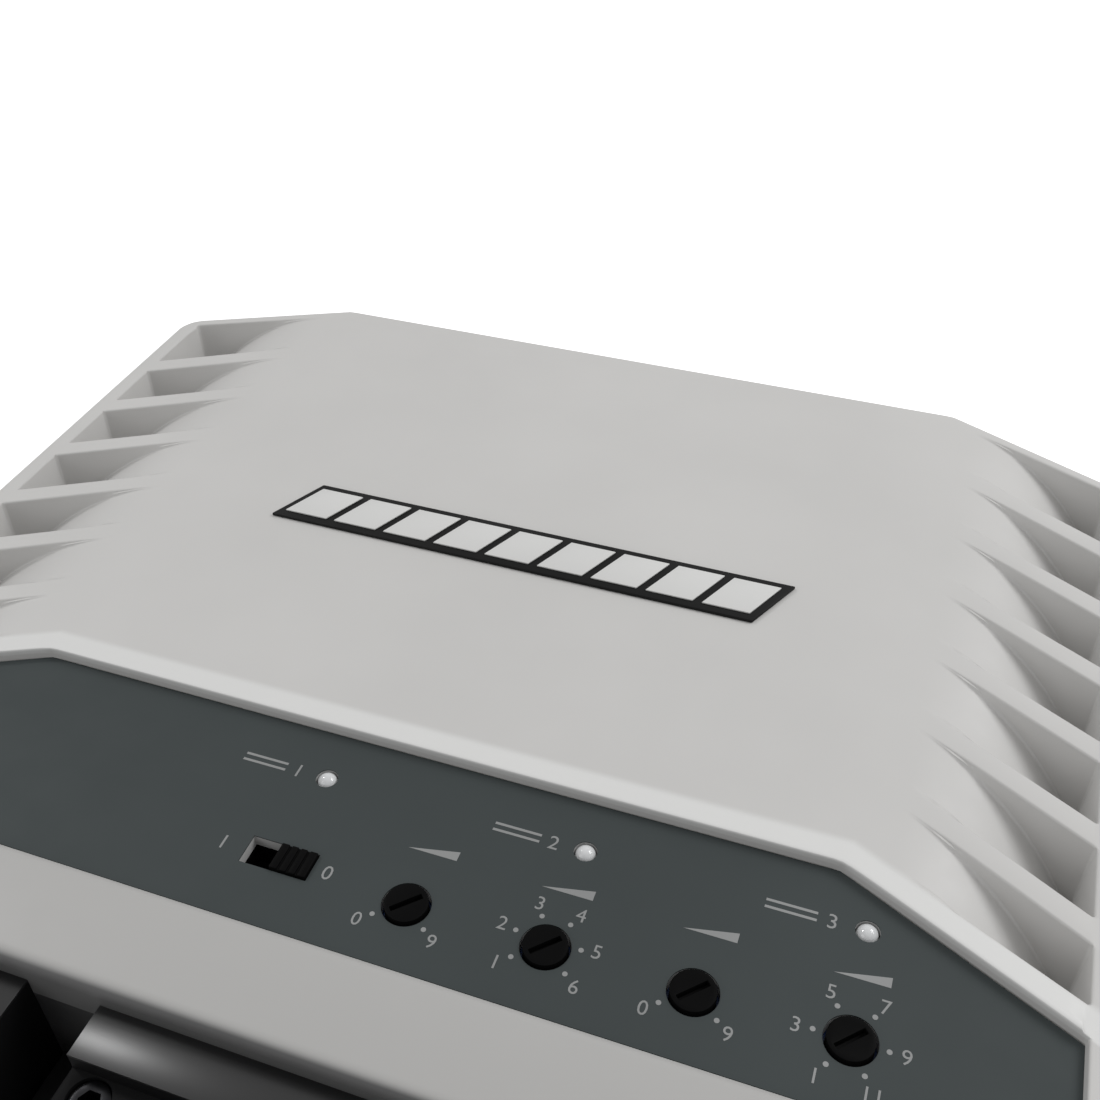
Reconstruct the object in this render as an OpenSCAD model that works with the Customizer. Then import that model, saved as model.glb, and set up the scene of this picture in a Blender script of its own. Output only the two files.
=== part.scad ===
// Car audio amplifier: a cast finned shell over a flat base plate, with a sunk control panel,
// screw terminals on a front shelf and the power electronics inside. Millimetres.
// Origin: middle of the base. +Z is up and -Y points out of the terminals.

/* [Overall] */
// Width over the side walls
body_w = 198; // [190:1:240]
// Depth of the closed shell, without the terminal shelf
shell_d = 162; // [158:1:200]
// Depth of the terminal shelf in front of the shell
shelf_d = 23; // [22:0.5:30]
// Height of the top face above the base
body_h = 54.4; // [52:0.2:66]

/* [Shell] */
// Thickness of the upright side rims
rim_t = 3.45; // [2.5:0.05:4]
// Thickness of the rear rim
rear_t = 2.6; // [2:0.1:4]
// Thickness of the walls round the cavity
wall_t = 4.5; // [4.2:0.1:6]
// Thickness of the top over the cavity
top_t = 3.5; // [3:0.1:4.5]
// Sideways run of the cut rear corners
corner_run = 31.7; // [26:0.1:34]
// Angle of the cut rear corners
corner_angle = 25.2; // [15:0.1:35]
// Radius where a cut corner meets its side
corner_r = 6; // [4:0.5:8]
// Radius of the shoulders that fall away to the sides
shoulder_r = 28; // [26:0.5:29]

/* [Fins] */
// Number of fins on each side
fin_count = 6; // [4:1:6]
// Distance from the rear edge to the outer end of the first fin
fin_start = 37.8; // [34:0.1:40]
// Spacing of the fins
fin_pitch = 15.85; // [12:0.05:16]
// Thickness of a fin, measured along Y
fin_t = 4.4; // [3:0.1:6]
// Rise along Y for each millimetre inwards
fin_sweep = 0.56; // [0.3:0.01:0.7]

/* [Control panel] */
// Depth of the lip in front of the panel
lip_d = 15.3; // [13:0.1:20]
// Height of the front face of the lip
lip_h = 7; // [6.9:0.1:8]
// Depth of the panel
panel_d = 33.8; // [33:0.1:38]
// Width of the band round the back of the panel
band_w = 4.1; // [3:0.1:6]
// Depth of the panel face below the top
panel_drop = 1.6; // [1:0.1:2]
// Thickness of the panel plate
panel_t = 1.8; // [1.6:0.1:2]
// Thickness of the printed overlay
overlay_t = 0.2; // [0.1:0.05:0.3]
// Sideways run of the slanted panel corners
panel_run = 32.15; // [28:0.05:34]
// Angle of the slanted panel corners
panel_angle = 25.9; // [20:0.1:30]
// Width of the ledge that carries the panel
ledge_w = 3.2; // [2.5:0.1:3.4]

/* [Controls] */
// Radius of a trimmer knob
knob_r = 3; // [2.5:0.1:3.4]
// Height of a knob above the panel face
knob_stand = 0.5; // [0.2:0.1:1]
// Side of a trimmer case
trimmer_w = 10.5; // [9:0.1:11]
// Radius of an indicator
led_r = 1.5; // [1:0.1:2]
// Travel of the slide switch
switch_travel = 4.5; // [3:0.1:5]
// Length of the slide switch button
button_l = 5.5; // [4:0.1:6]
// Width of the slide switch button
button_w = 4.2; // [3:0.1:5]

/* [Base] */
// Thickness of the base plate
base_t = 2; // [1.8:0.1:3]
// Thickness of the base gasket
gasket_t = 0.8; // [0.5:0.1:1.2]
// Radius of the mounting holes
ear_hole_r = 2.25; // [2:0.05:2.6]
// Distance from the side to a mounting hole
ear_inset = 10.5; // [9:0.1:12]
// Distance from the rear edge to the rear mounting holes
ear_rear = 4.6; // [4.4:0.1:5.5]
// Distance from the front edge to the front mounting holes
ear_front = 9.5; // [8:0.1:12]

/* [Terminals] */
// Spacing of the wire terminals
cell_pitch = 15; // [12:0.5:15]
// Distance from the end of a block to its first terminal
cell_margin = 4.3; // [4.2:0.1:5]
// Radius of a wire entry in a terminal barrel
wire_r = 3; // [2.5:0.1:3.2]
// Radius of a set screw
set_screw_r = 2.7; // [2.2:0.1:2.8]
// Left end of the speaker block
speaker_x = -21.4; // [-22:0.1:-21]
// Gap between the two blocks, which holds the remote socket
block_gap = 11; // [10.8:0.1:12]
// Depth of the raised bar at the back of a block
bar_d = 7; // [6:0.1:8]

/* [Electronics] */
// Thickness of both circuit boards
board_t = 1.6; // [1.2:0.1:2]
// Height of the main board above the base
board_z = 9; // [8:0.1:10]
// Number of power transistors on each side
fet_count = 6; // [4:1:6]
// Spacing of the power transistors
fet_pitch = 14; // [13:0.5:14]
// Diameter of the transformer
toroid_d = 48; // [40:1:50]
// Height of the transformer
toroid_h = 21; // [16:1:24]

/* [Hidden] */
$fn = 64;

eps = 0.01;
big = 400;
sides = [-1, 1];
half_w = body_w / 2;
y_back = (shell_d + shelf_d) / 2;
y_lip = y_back - shell_d;
y_front = -y_back;
rear_half = half_w - corner_run;

// Heights
z_seat = base_t + gasket_t;
z_panel = body_h - panel_drop;
z_plate = z_panel - overlay_t;
z_plate_low = z_plate - panel_t;
panel_gasket_t = 0.3;
z_ledge = z_plate_low - panel_gasket_t;
z_lip = body_h - lip_h;
pad_t = 2.9;
z_pad = z_ledge - pad_t;
z_control_top = z_pad - 1.2;
z_control = z_control_top - board_t;
z_board_top = board_z + board_t;
z_ceiling = body_h - top_t;

// Shoulders: the step keeps the round from meeting the flat top at a tangent
shoulder_step = 0.06;
shoulder_x = half_w - 1 - shoulder_r;
shoulder_z = body_h - shoulder_step - shoulder_r;
cavity_r = half_w - wall_t - shoulder_x;
cavity_z = z_ceiling - cavity_r;

// Panel places
y_panel_front = y_lip + lip_d;
y_panel_rear = y_panel_front + panel_d;
panel_half = half_w - rim_t - panel_run;
panel_gap = 0.15;

// Fasteners
m3_r = 1.5;
m3_pilot_r = 1.3;
m3_head_r = 2.75;
m3_head_h = 1.8;
m2_r = 1;
m2_pilot_r = 0.85;
m2_head_r = 1.9;
m2_head_h = 1.2;
thread_play = 0.2;
drive_depth = 1;

// Base plate screws, their bosses and the mounting holes
boss_r = 4;
boss_h = 12;
boss_x = half_w - wall_t - boss_r + 0.1;
boss_y = [y_lip + 17.5, y_back - 34.5];
rear_boss_x = 40;
rear_boss_y = y_back - wall_t - boss_r + 0.1;
boss_places = concat(
    [for (s = sides, y = boss_y) [s * boss_x, y]],
    [for (s = sides) [s * rear_boss_x, rear_boss_y]]
);
base_screw_l = 10;
gasket_edge = 0.4;
gasket_w = rim_t - 2 * gasket_edge;
ear_x = half_w - ear_inset;
ear_places = concat(
    [for (s = sides) [s * ear_x, y_back - ear_rear]],
    [for (s = sides) [s * ear_x, y_front + ear_front]]
);

// Front plate, and the wall of the lip over it
front_plate_t = 2;
y_plate_in = y_lip + front_plate_t;
y_lip_in = y_plate_in + 1.5;
front_boss_r = 3.5;
front_boss_d = 6.5;
front_boss_x = half_w - wall_t - front_boss_r + 0.1;
front_boss_z = [z_seat + 14, z_seat + 33];
front_screw_l = 7;

// Main board and the posts that carry it
y_board_front = y_lip + 7.5;
y_board_rear = y_back - 10.5;
post_r = 3.2;
post_places = [
    [-(half_w - 17), y_lip + 12.5], [half_w - 17, y_lip + 12.5],
    [-60, y_board_rear - 8], [60, y_board_rear - 8], [8, y_panel_rear + 12]
];

// Controls, all on the control board
knob_y = y_panel_front + 9.6;
knob_x = [10, 29.6, 49.2, 68.8];
trimmer_h = z_ledge - 0.2 - z_control_top;
led_y = y_panel_rear - 8.3;
led_x = [-9.9, 29.8, 68.4];
hole_gap = 0.4;
knob_fit = 0.05;
switch_right = -4.5;
switch_y = knob_y + 1.15;
switch_gap = 0.15;
slot_l = button_l + switch_travel + 2 * switch_gap;
slot_w = button_w + 2 * switch_gap;
button_stand = 0.6;
switch_wall = 1;
control_x = [-24, 77];
control_y = [y_panel_front - 3.3, y_panel_rear + 3.4];
control_screw_places = [
    for (x = [control_x[0] + 4, control_x[1] - 4], y = [y_panel_front - 0.6, y_panel_rear + 0.6]) [x, y]
];
control_boss_r = 2.6;

// Terminal blocks
z_deck = z_lip;
bar_h = 3;
block_z = z_seat + 12;
cell_z = block_z + 16;
barrel_w = 7.4;
barrel_d = 12;
barrel_h = 11;
barrel_back = 5.5;
speaker_cells = 4;
power_cells = 3;
cell_y = y_lip - bar_d - 3;
tail_w = 5;
tail_t = 1.2;
tail_y = y_board_front + 2.5;
screw_sink = 0.5;
window_margin = 1.5;
speaker_w = 2 * cell_margin + (speaker_cells - 1) * cell_pitch;
power_w = 2 * cell_margin + (power_cells - 1) * cell_pitch;
power_x = speaker_x - block_gap - power_w;
block_front = y_front;

// Remote level socket
socket_w = block_gap - 0.6;
socket_d = 11.5;
socket_h = 12;
socket_x = speaker_x - block_gap / 2;
socket_z = block_z + 6;
socket_bore = [7.8, 9.5, 6.8];

// Signal jacks
jack_x = [52, 70];
jack_z = block_z + 14;
jack_r = 4.1;
jack_bore_r = 3.25;
jack_reach = 9.5;
jack_pin_r = 1.6;
jack_housing_d = 10;

// Transistors and what clamps them
pad_thick = 0.3;
fet_w = 10;
fet_body_t = 3.2;
fet_tab_t = 1.3;
fet_leg_h = 2;
fet_tab_h = 15.2;
fet_body_h = 9.2;
fet_x = half_w - wall_t - pad_thick;
fet_z = z_board_top + fet_leg_h;
bar_t = 3;
clamp_bar_h = 6;
clamp_bar_z = fet_z + 2;
fet_row = (fet_count - 1) * fet_pitch;
clamp_y = [for (i = [1 : 2 : fet_count - 1]) -fet_row / 2 + (i - 0.5) * fet_pitch];
clamp_screw_l = bar_t + fet_body_t + fet_tab_t + pad_thick + 3;

// Places on the main board
toroid_place = [-36, 40];
toroid_hole_d = 16;
winding_t = 2.5;
inductor_place = [48, 34];
inductor_d = 34;
inductor_hole_d = 12;
inductor_h = 15;
input_cap_places = [for (x = [-66, -47], y = [-36, -17]) [x, y]];
input_cap_r = 8;
input_cap_h = 28;
output_cap_places = [for (i = [0 : 2]) [4 + 21 * i, 66]];
output_cap_r = 9;
output_cap_h = 33;
chip_places = [[-4, 22], [-4, 40], [30, -6], [52, -6], [70, -6]];
header_place = [20, -36];
header_w = 22;
header_d = 5;
header_h = 8;
ribbon_w = 20;
ribbon_t = 1;

// Badge
badge_y = 27;
badge_w = 88;
badge_d = 10.5;
badge_t = 0.6;
badge_slant = 5;
badge_bars = 9;
badge_edge = 1.4;
badge_joint = 1.6;

// Outline of a hexagon whose two rear corners are cut off, moved in by t all round
function plan_points(half, rear, front, flat_half, angle, t) =
    let(
        xs = half - t,
        xr = flat_half - t * tan(angle / 2),
        ys = rear - (t + (xs - flat_half) * sin(angle)) / cos(angle)
    )
    [[xs, front + t], [xs, ys], [xr, rear - t], [-xr, rear - t], [-xs, ys], [-xs, front + t]];

function shell_points(t) = plan_points(half_w, y_back, y_lip, rear_half, corner_angle, t);

// Outline inside the walls, from a given front edge
function cavity_points(front) =
    plan_points(half_w, y_back, front - wall_t, rear_half, corner_angle, wall_t);

function panel_points(t) =
    plan_points(half_w - rim_t, y_panel_rear, y_panel_front, panel_half, panel_angle, t);

// Plan of the shell, moved in by t, with its side corners rounded
module shell_plan(t = 0) {
    r = max(corner_r - t, 0.5);
    c = shell_points(t + r)[1];
    difference() {
        polygon(shell_points(t));
        for (s = sides)
            difference() {
                polygon([
                    [s * c[0], c[1]],
                    [s * (c[0] + r), c[1]],
                    [s * (c[0] + 2 * r), c[1] + r],
                    [s * (c[0] + r * sin(corner_angle)), c[1] + r * cos(corner_angle)]
                ]);
                translate([s * c[0], c[1]]) circle(r);
            }
    }
}

// A box by its two opposite corners
module box_between(a, b) {
    translate(a) cube(b - a);
}

// An upright cylinder from one height to another
module post(place, r, low, high) {
    translate([place[0], place[1], low]) cylinder(r = r, h = high - low);
}

// Section across the shell, drawn in X and Z and swept along Y
module across(y0, y1) {
    translate([0, y1, 0]) rotate([90, 0, 0]) linear_extrude(y1 - y0) children();
}

// Section of the hump: a flat top between two round shoulders
module hump_section(r, top, centre_z) {
    translate([-shoulder_x, 0]) square([2 * shoulder_x, top]);
    for (s = sides) translate([s * shoulder_x, centre_z]) circle(r);
    translate([-shoulder_x - r, 0]) square([2 * (shoulder_x + r), centre_z]);
}

// Swept fins on one side, as tall as the shell
module fins(s) {
    inner_x = shoulder_x - 4;
    for (i = [0 : fin_count - 1]) {
        y = y_back - fin_start - i * fin_pitch;
        rise = (half_w - inner_x) * fin_sweep;
        linear_extrude(body_h + 1)
            polygon([
                [s * half_w, y], [s * half_w, y + fin_t],
                [s * inner_x, y + fin_t + rise], [s * inner_x, y + rise]
            ]);
    }
}

// The open troughs between the fins
module troughs() {
    difference() {
        translate([0, 0, shoulder_z])
            linear_extrude(shoulder_r + 1)
                intersection() {
                    difference() {
                        polygon(shell_points(rear_t));
                        polygon(panel_points(-band_w));
                        translate([-big / 2, y_panel_front - big]) square(big);
                    }
                    translate([-(half_w - rim_t), -big / 2]) square([2 * (half_w - rim_t), big]);
                }
        across(-big / 2, big / 2) hump_section(shoulder_r, body_h + 3, shoulder_z);
        for (s = sides) fins(s);
    }
}

// The closed space for the electronics
module cavity() {
    intersection() {
        translate([0, 0, -1]) linear_extrude(body_h) polygon(cavity_points(y_lip_in));
        across(-big / 2, big / 2) hump_section(cavity_r, z_ceiling, cavity_z);
        difference() {
            translate([-big / 2, -big / 2, -1]) cube([big, big, body_h + 1]);
            box_between([-big / 2, -big / 2, z_pad], [big / 2, y_panel_rear + band_w, body_h]);
        }
    }
    box_between([-(half_w - wall_t), y_lip - 1, -1], [half_w - wall_t, y_lip_in + 0.1, z_lip]);
}

module heatsink_shell() {
    color([0.72, 0.72, 0.71])
    difference() {
        union() {
            difference() {
                translate([0, 0, z_seat]) linear_extrude(body_h - z_seat) shell_plan();
                cavity();
            }
            for (s = sides) cheek(s);
            for (p = boss_places) post(p, boss_r, z_seat, z_seat + boss_h);
            for (p = post_places) post(p, post_r, z_board_top, z_ceiling + 1);
            for (p = control_screw_places) post(p, control_boss_r, z_control_top, z_pad + 1);
            for (s = sides, z = front_boss_z)
                translate([s * front_boss_x, y_plate_in + front_boss_d, z])
                    rotate([90, 0, 0]) cylinder(r = front_boss_r, h = front_boss_d);
        }
        troughs();
        translate([0, 0, z_ledge]) linear_extrude(body_h) polygon(panel_points(0));
        panel_window();
        for (p = boss_places) post(p, m3_pilot_r + thread_play, z_seat - 1, z_seat + boss_h - 2);
        for (p = post_places) post(p, m3_pilot_r + thread_play, z_board_top - 1, z_board_top + 8);
        for (p = control_screw_places)
            post(p, m2_pilot_r + thread_play, z_control_top - 1, z_ledge - 0.8);
        for (s = sides, z = front_boss_z)
            translate([s * front_boss_x, y_plate_in + front_boss_d - 1, z])
                rotate([90, 0, 0]) cylinder(r = m3_pilot_r + thread_play, h = front_boss_d);
        for (s = sides, y = clamp_y)
            translate([s * (half_w - wall_t - 1), y, clamp_bar_z + clamp_bar_h / 2])
                rotate([0, s * 90, 0]) cylinder(r = m3_pilot_r + thread_play, h = 4.2);
    }
}

// Side wall that runs on beside the terminals and rounds down to the front
module cheek(s) {
    x0 = s > 0 ? half_w - rim_t : -half_w;
    drop_r = shelf_d;
    translate([x0, y_lip, 0])
        rotate([90, 0, 90])
            linear_extrude(rim_t)
                intersection() {
                    translate([-shelf_d, z_seat]) square([shelf_d + 1, body_h - z_seat]);
                    union() {
                        translate([0, body_h - drop_r]) circle(drop_r);
                        translate([-shelf_d, 0]) square([shelf_d + 1, body_h - drop_r]);
                    }
                }
}

// Opening under the panel for the controls
module panel_window() {
    reach = half_w - 15;
    intersection() {
        translate([0, 0, z_pad - 8]) linear_extrude(body_h) polygon(panel_points(ledge_w));
        box_between([-reach, -big / 2, 0], [reach, big / 2, body_h]);
    }
}

module base_plate() {
    color([0.13, 0.13, 0.14])
    difference() {
        linear_extrude(base_t)
            union() {
                shell_plan();
                translate([-half_w, y_front]) square([body_w, shelf_d + 1]);
                for (s = sides)
                    translate([s * ear_x, y_back - ear_rear]) {
                        circle(ear_rear);
                        translate([-ear_rear, -3 * ear_rear]) square([2 * ear_rear, 3 * ear_rear]);
                    }
            }
        for (p = ear_places) post(p, ear_hole_r, -1, base_t + 1);
        for (p = boss_places) {
            post(p, m3_r + thread_play, -1, base_t + 1);
            translate([p[0], p[1], -eps])
                cylinder(r1 = m3_head_r + 0.1, r2 = m3_r + thread_play, h = m3_head_h);
        }
    }
}

module base_gasket() {
    color([0.1, 0.1, 0.1])
    translate([0, 0, base_t])
        difference() {
            linear_extrude(gasket_t) {
                difference() {
                    shell_plan(gasket_edge);
                    polygon(cavity_points(y_plate_in));
                }
                for (s = sides)
                    translate([s * (half_w - rim_t / 2) - gasket_w / 2, y_front + gasket_edge])
                        square([gasket_w, shelf_d + 1]);
                for (p = boss_places) translate(p) circle(boss_r + gasket_edge);
            }
            for (p = boss_places) post(p, m3_r + thread_play, -1, gasket_t + 1);
        }
}

// A countersunk screw pointing up, its head flush with z = 0
module countersunk_screw(l) {
    difference() {
        union() {
            cylinder(r1 = m3_head_r, r2 = m3_r, h = m3_head_h - 0.15);
            cylinder(r = m3_pilot_r, h = l);
        }
        cross_recess(2.6);
    }
}

// A pan head screw pointing up, the seat of its head at z = 0
module pan_screw(r, l, head_r, head_h) {
    difference() {
        union() {
            translate([0, 0, -head_h]) cylinder(r = head_r, h = head_h);
            translate([0, 0, -eps]) cylinder(r = r, h = l);
        }
        translate([0, 0, -head_h]) cross_recess(head_r);
    }
}

module cross_recess(w) {
    blade = 0.6;
    for (a = [0, 90])
        rotate([0, 0, a]) translate([-w / 2, -blade / 2, -1]) cube([w, blade, 1 + drive_depth * 0.8]);
}

module base_screws() {
    color([0.25, 0.25, 0.26])
    for (p = boss_places) translate([p[0], p[1], 0.1]) countersunk_screw(base_screw_l);
}

module front_plate() {
    color([0.1, 0.1, 0.11])
    difference() {
        box_between([-(half_w - wall_t - 0.2), y_lip, z_seat], [half_w - wall_t - 0.2, y_plate_in, z_lip]);
        for (b = [[power_x, power_w], [speaker_x, speaker_w]])
            box_between(
                [b[0] + window_margin, y_lip - 1, cell_z - 4],
                [b[0] + b[1] - window_margin, y_plate_in + 1, cell_z + 4]
            );
        box_between(
            [socket_x - socket_w / 2 + window_margin, y_lip - 1, socket_z + window_margin],
            [socket_x + socket_w / 2 - window_margin, y_plate_in + 1, socket_z + socket_h - window_margin]
        );
        for (x = jack_x)
            translate([x, y_plate_in + 1, jack_z])
                rotate([90, 0, 0]) cylinder(r = jack_bore_r, h = front_plate_t + 2);
        for (s = sides, z = front_boss_z)
            translate([s * front_boss_x, y_plate_in + 1, z])
                rotate([90, 0, 0]) cylinder(r = m3_r + thread_play, h = front_plate_t + 2);
    }
}

module front_plate_screws() {
    color([0.2, 0.2, 0.21])
    for (s = sides, z = front_boss_z)
        translate([s * front_boss_x, y_lip, z])
            rotate([-90, 0, 0]) pan_screw(m3_pilot_r, front_screw_l, m3_head_r, m3_head_h);
}

// Everything that shows through the panel, grown by a gap
module control_openings(low, high) {
    for (x = knob_x) post([x, knob_y], knob_r + hole_gap, low, high);
    for (x = led_x) post([x, led_y], led_r + 0.15, low, high);
    box_between(
        [switch_right - slot_l, switch_y - slot_w / 2, low],
        [switch_right, switch_y + slot_w / 2, high]
    );
}

module control_panel() {
    color([0.66, 0.66, 0.65])
    difference() {
        translate([0, 0, z_plate_low]) linear_extrude(panel_t) polygon(panel_points(panel_gap));
        control_openings(z_plate_low - 1, z_plate + 1);
    }
}

module panel_overlay() {
    color([0.26, 0.28, 0.28])
    difference() {
        translate([0, 0, z_plate]) linear_extrude(overlay_t) polygon(panel_points(panel_gap));
        control_openings(z_plate - 1, z_panel + 1);
    }
}

module panel_gasket() {
    reach = half_w - 15;
    color([0.1, 0.1, 0.1])
    translate([0, 0, z_ledge])
        linear_extrude(panel_gasket_t)
            difference() {
                polygon(panel_points(2 * panel_gap));
                intersection() {
                    polygon(panel_points(ledge_w));
                    translate([-reach, -big / 2]) square([2 * reach, big]);
                }
            }
}

// Plan of the badge, a bar with slanted ends, moved in by t
module badge_plan(x0, x1, t) {
    lean = badge_slant * (badge_d / 2 - t) / (badge_d / 2);
    polygon([
        [x0 + t - lean / 2, -badge_d / 2 + t], [x1 - t - lean / 2, -badge_d / 2 + t],
        [x1 - t + lean / 2, badge_d / 2 - t], [x0 + t + lean / 2, badge_d / 2 - t]
    ]);
}

module badge_plate() {
    color([0.08, 0.08, 0.08])
    translate([0, badge_y, body_h]) linear_extrude(badge_t) badge_plan(-badge_w / 2, badge_w / 2, 0);
}

module badge_inlay() {
    run = (badge_w - 2 * badge_edge - (badge_bars - 1) * badge_joint) / badge_bars;
    color([0.75, 0.75, 0.75])
    translate([0, badge_y, body_h + badge_t])
        linear_extrude(badge_t / 2)
            for (i = [0 : badge_bars - 1]) {
                x = -badge_w / 2 + badge_edge + i * (run + badge_joint);
                badge_plan(x - badge_edge, x + run + badge_edge, badge_edge);
            }
}

module control_board() {
    color([0.1, 0.32, 0.18])
    difference() {
        box_between([control_x[0], control_y[0], z_control], [control_x[1], control_y[1], z_control_top]);
        for (p = control_screw_places) post(p, m2_r + thread_play, z_control - 1, z_control_top + 1);
    }
}

module control_board_screws() {
    color([0.7, 0.7, 0.7])
    for (p = control_screw_places)
        translate([p[0], p[1], z_control]) pan_screw(m2_pilot_r, board_t + 3, m2_head_r, m2_head_h);
}

// Case of one trimmer, with the round well that its knob turns in
module trimmer(x) {
    color([0.16, 0.2, 0.3])
    difference() {
        translate([x - trimmer_w / 2, knob_y - trimmer_w / 2, z_control_top]) cube([trimmer_w, trimmer_w, trimmer_h]);
        post([x, knob_y], knob_r + knob_fit, z_control_top + 0.6, z_ledge + 1);
    }
}

// Knob with a driver slot
module knob(x) {
    slot_t = 0.8;
    slot_h = 1.1;
    top = z_panel + knob_stand;
    color([0.06, 0.06, 0.06])
    difference() {
        post([x, knob_y], knob_r, z_control_top + 0.7, top);
        translate([x, knob_y, top - slot_h])
            rotate([0, 0, 45]) translate([-2.3, -slot_t / 2, 0]) cube([4.6, slot_t, slot_h + 1]);
    }
}

module bass_boost_trimmer() { trimmer(knob_x[0]); }
module boost_frequency_trimmer() { trimmer(knob_x[1]); }
module subsonic_trimmer() { trimmer(knob_x[2]); }
module gain_trimmer() { trimmer(knob_x[3]); }
module bass_boost_knob() { knob(knob_x[0]); }
module boost_frequency_knob() { knob(knob_x[1]); }
module subsonic_knob() { knob(knob_x[2]); }
module gain_knob() { knob(knob_x[3]); }

module switch_case() {
    color([0.6, 0.6, 0.6])
    difference() {
        box_between(
            [switch_right - slot_l - switch_wall, switch_y - slot_w / 2 - switch_wall, z_control_top],
            [switch_right + switch_wall, switch_y + slot_w / 2 + switch_wall, z_ledge - 0.2]
        );
        box_between(
            [switch_right - slot_l, switch_y - slot_w / 2, z_control_top + 0.6],
            [switch_right, switch_y + slot_w / 2, z_ledge + 1]
        );
    }
}

// Button at its right-hand stop, with a grooved top
module switch_button() {
    x1 = switch_right - switch_gap;
    top = z_panel + button_stand;
    color([0.05, 0.05, 0.05])
    difference() {
        box_between(
            [x1 - button_l, switch_y - button_w / 2, z_control_top + 0.7],
            [x1, switch_y + button_w / 2, top]
        );
        for (i = [1 : 3])
            translate([x1 - button_l * i / 4 - 0.2, switch_y - button_w, top - 0.3]) cube([0.4, 2 * button_w, 1]);
    }
}

// Indicator with a domed end and a flange on the board
module indicator(x) {
    dome_z = z_panel - led_r + 0.5;
    color([0.92, 0.93, 0.94]) {
        post([x, led_y], led_r + 0.3, z_control_top, z_control_top + 0.8);
        post([x, led_y], led_r, z_control_top + 0.4, dome_z);
        translate([x, led_y, dome_z]) sphere(led_r);
    }
}

module power_indicator() { indicator(led_x[0]); }
module output_clip_indicator() { indicator(led_x[1]); }
module input_clip_indicator() { indicator(led_x[2]); }

// Moulded block: a raised bar against the lip and a lower deck over the terminals
module terminal_block(x0, w, cells) {
    color([0.05, 0.05, 0.05])
    difference() {
        union() {
            box_between([x0, y_lip - bar_d, block_z], [x0 + w, y_lip, z_deck + bar_h]);
            box_between([x0, block_front, block_z], [x0 + w, y_lip - bar_d + 1, z_deck]);
        }
        for (i = [0 : cells - 1]) {
            x = x0 + cell_margin + i * cell_pitch;
            box_between(
                [x - barrel_w / 2, cell_y - barrel_d + barrel_back, cell_z - barrel_h / 2 + 1],
                [x + barrel_w / 2, y_lip + 1, cell_z + barrel_h / 2 + 1]
            );
            post([x, cell_y], set_screw_r + thread_play, cell_z, z_deck + 1);
            translate([x, block_front + 1 + barrel_d, cell_z])
                rotate([90, 0, 0]) cylinder(r = wire_r + 0.6, h = barrel_d + 3);
        }
    }
}

// Clamp barrels with their tails bent down to the main board
module terminal_barrels(x0, cells) {
    color([0.8, 0.68, 0.38])
    for (i = [0 : cells - 1]) {
        x = x0 + cell_margin + i * cell_pitch;
        front = cell_y - barrel_d + barrel_back;
        difference() {
            box_between(
                [x - barrel_w / 2, front, cell_z - barrel_h / 2 + 1],
                [x + barrel_w / 2, front + barrel_d, cell_z + barrel_h / 2 + 1]
            );
            translate([x, front + barrel_d + 1, cell_z])
                rotate([90, 0, 0]) cylinder(r = wire_r, h = barrel_d + 2);
            post([x, cell_y], set_screw_r + 0.05, cell_z, cell_z + barrel_h);
        }
        box_between(
            [x - tail_w / 2, front + barrel_d, cell_z + wire_r - tail_t + 1],
            [x + tail_w / 2, tail_y + tail_t, cell_z + wire_r + 1]
        );
        box_between(
            [x - tail_w / 2, tail_y, z_board_top],
            [x + tail_w / 2, tail_y + tail_t, cell_z + wire_r + 1]
        );
    }
}

// Set screws with hexagon sockets, backed off clear of the wire entries
module set_screws(x0, cells) {
    socket_r = 1.6;
    color([0.72, 0.72, 0.74])
    for (i = [0 : cells - 1])
        translate([x0 + cell_margin + i * cell_pitch, cell_y, 0])
            difference() {
                post([0, 0], set_screw_r, cell_z + wire_r, z_deck - screw_sink);
                translate([0, 0, z_deck - screw_sink - 3]) cylinder(r = socket_r, h = 4, $fn = 6);
            }
}

module power_terminal_block() { terminal_block(power_x, power_w, power_cells); }
module power_terminal_barrels() { terminal_barrels(power_x, power_cells); }
module power_set_screws() { set_screws(power_x, power_cells); }
module speaker_terminal_block() { terminal_block(speaker_x, speaker_w, speaker_cells); }
module speaker_terminal_barrels() { terminal_barrels(speaker_x, speaker_cells); }
module speaker_set_screws() { set_screws(speaker_x, speaker_cells); }

// Socket for the lead of a remote level control
module remote_socket() {
    mid_z = socket_z + socket_h / 2;
    color([0.07, 0.07, 0.07])
    difference() {
        union() {
            box_between(
                [socket_x - socket_w / 2, y_lip - socket_d, socket_z],
                [socket_x + socket_w / 2, y_lip, socket_z + socket_h]
            );
            box_between(
                [socket_x - socket_w / 2 + 2.4, y_lip - 1, socket_z + 2.4],
                [socket_x + socket_w / 2 - 2.4, tail_y, socket_z + socket_h - 2.4]
            );
        }
        box_between(
            [socket_x - socket_bore[0] / 2, y_lip - socket_d - 1, mid_z - socket_bore[2] / 2],
            [socket_x + socket_bore[0] / 2, y_lip - socket_d + socket_bore[1], mid_z + socket_bore[2] / 2]
        );
    }
}

// Spring contacts along the roof of the socket and their pins down to the main board
module remote_socket_contacts() {
    roof = socket_z + socket_h / 2 + socket_bore[2] / 2;
    color([0.85, 0.7, 0.3])
    for (i = [0 : 3]) {
        x = socket_x + (i - 1.5) * 1.3;
        box_between(
            [x - 0.25, y_lip - socket_d + 1.5, roof - 0.6],
            [x + 0.25, y_lip - socket_d + socket_bore[1], roof]
        );
        box_between([x - 0.25, tail_y, z_board_top], [x + 0.25, tail_y + 0.6, socket_z + socket_h / 2]);
    }
}

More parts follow.
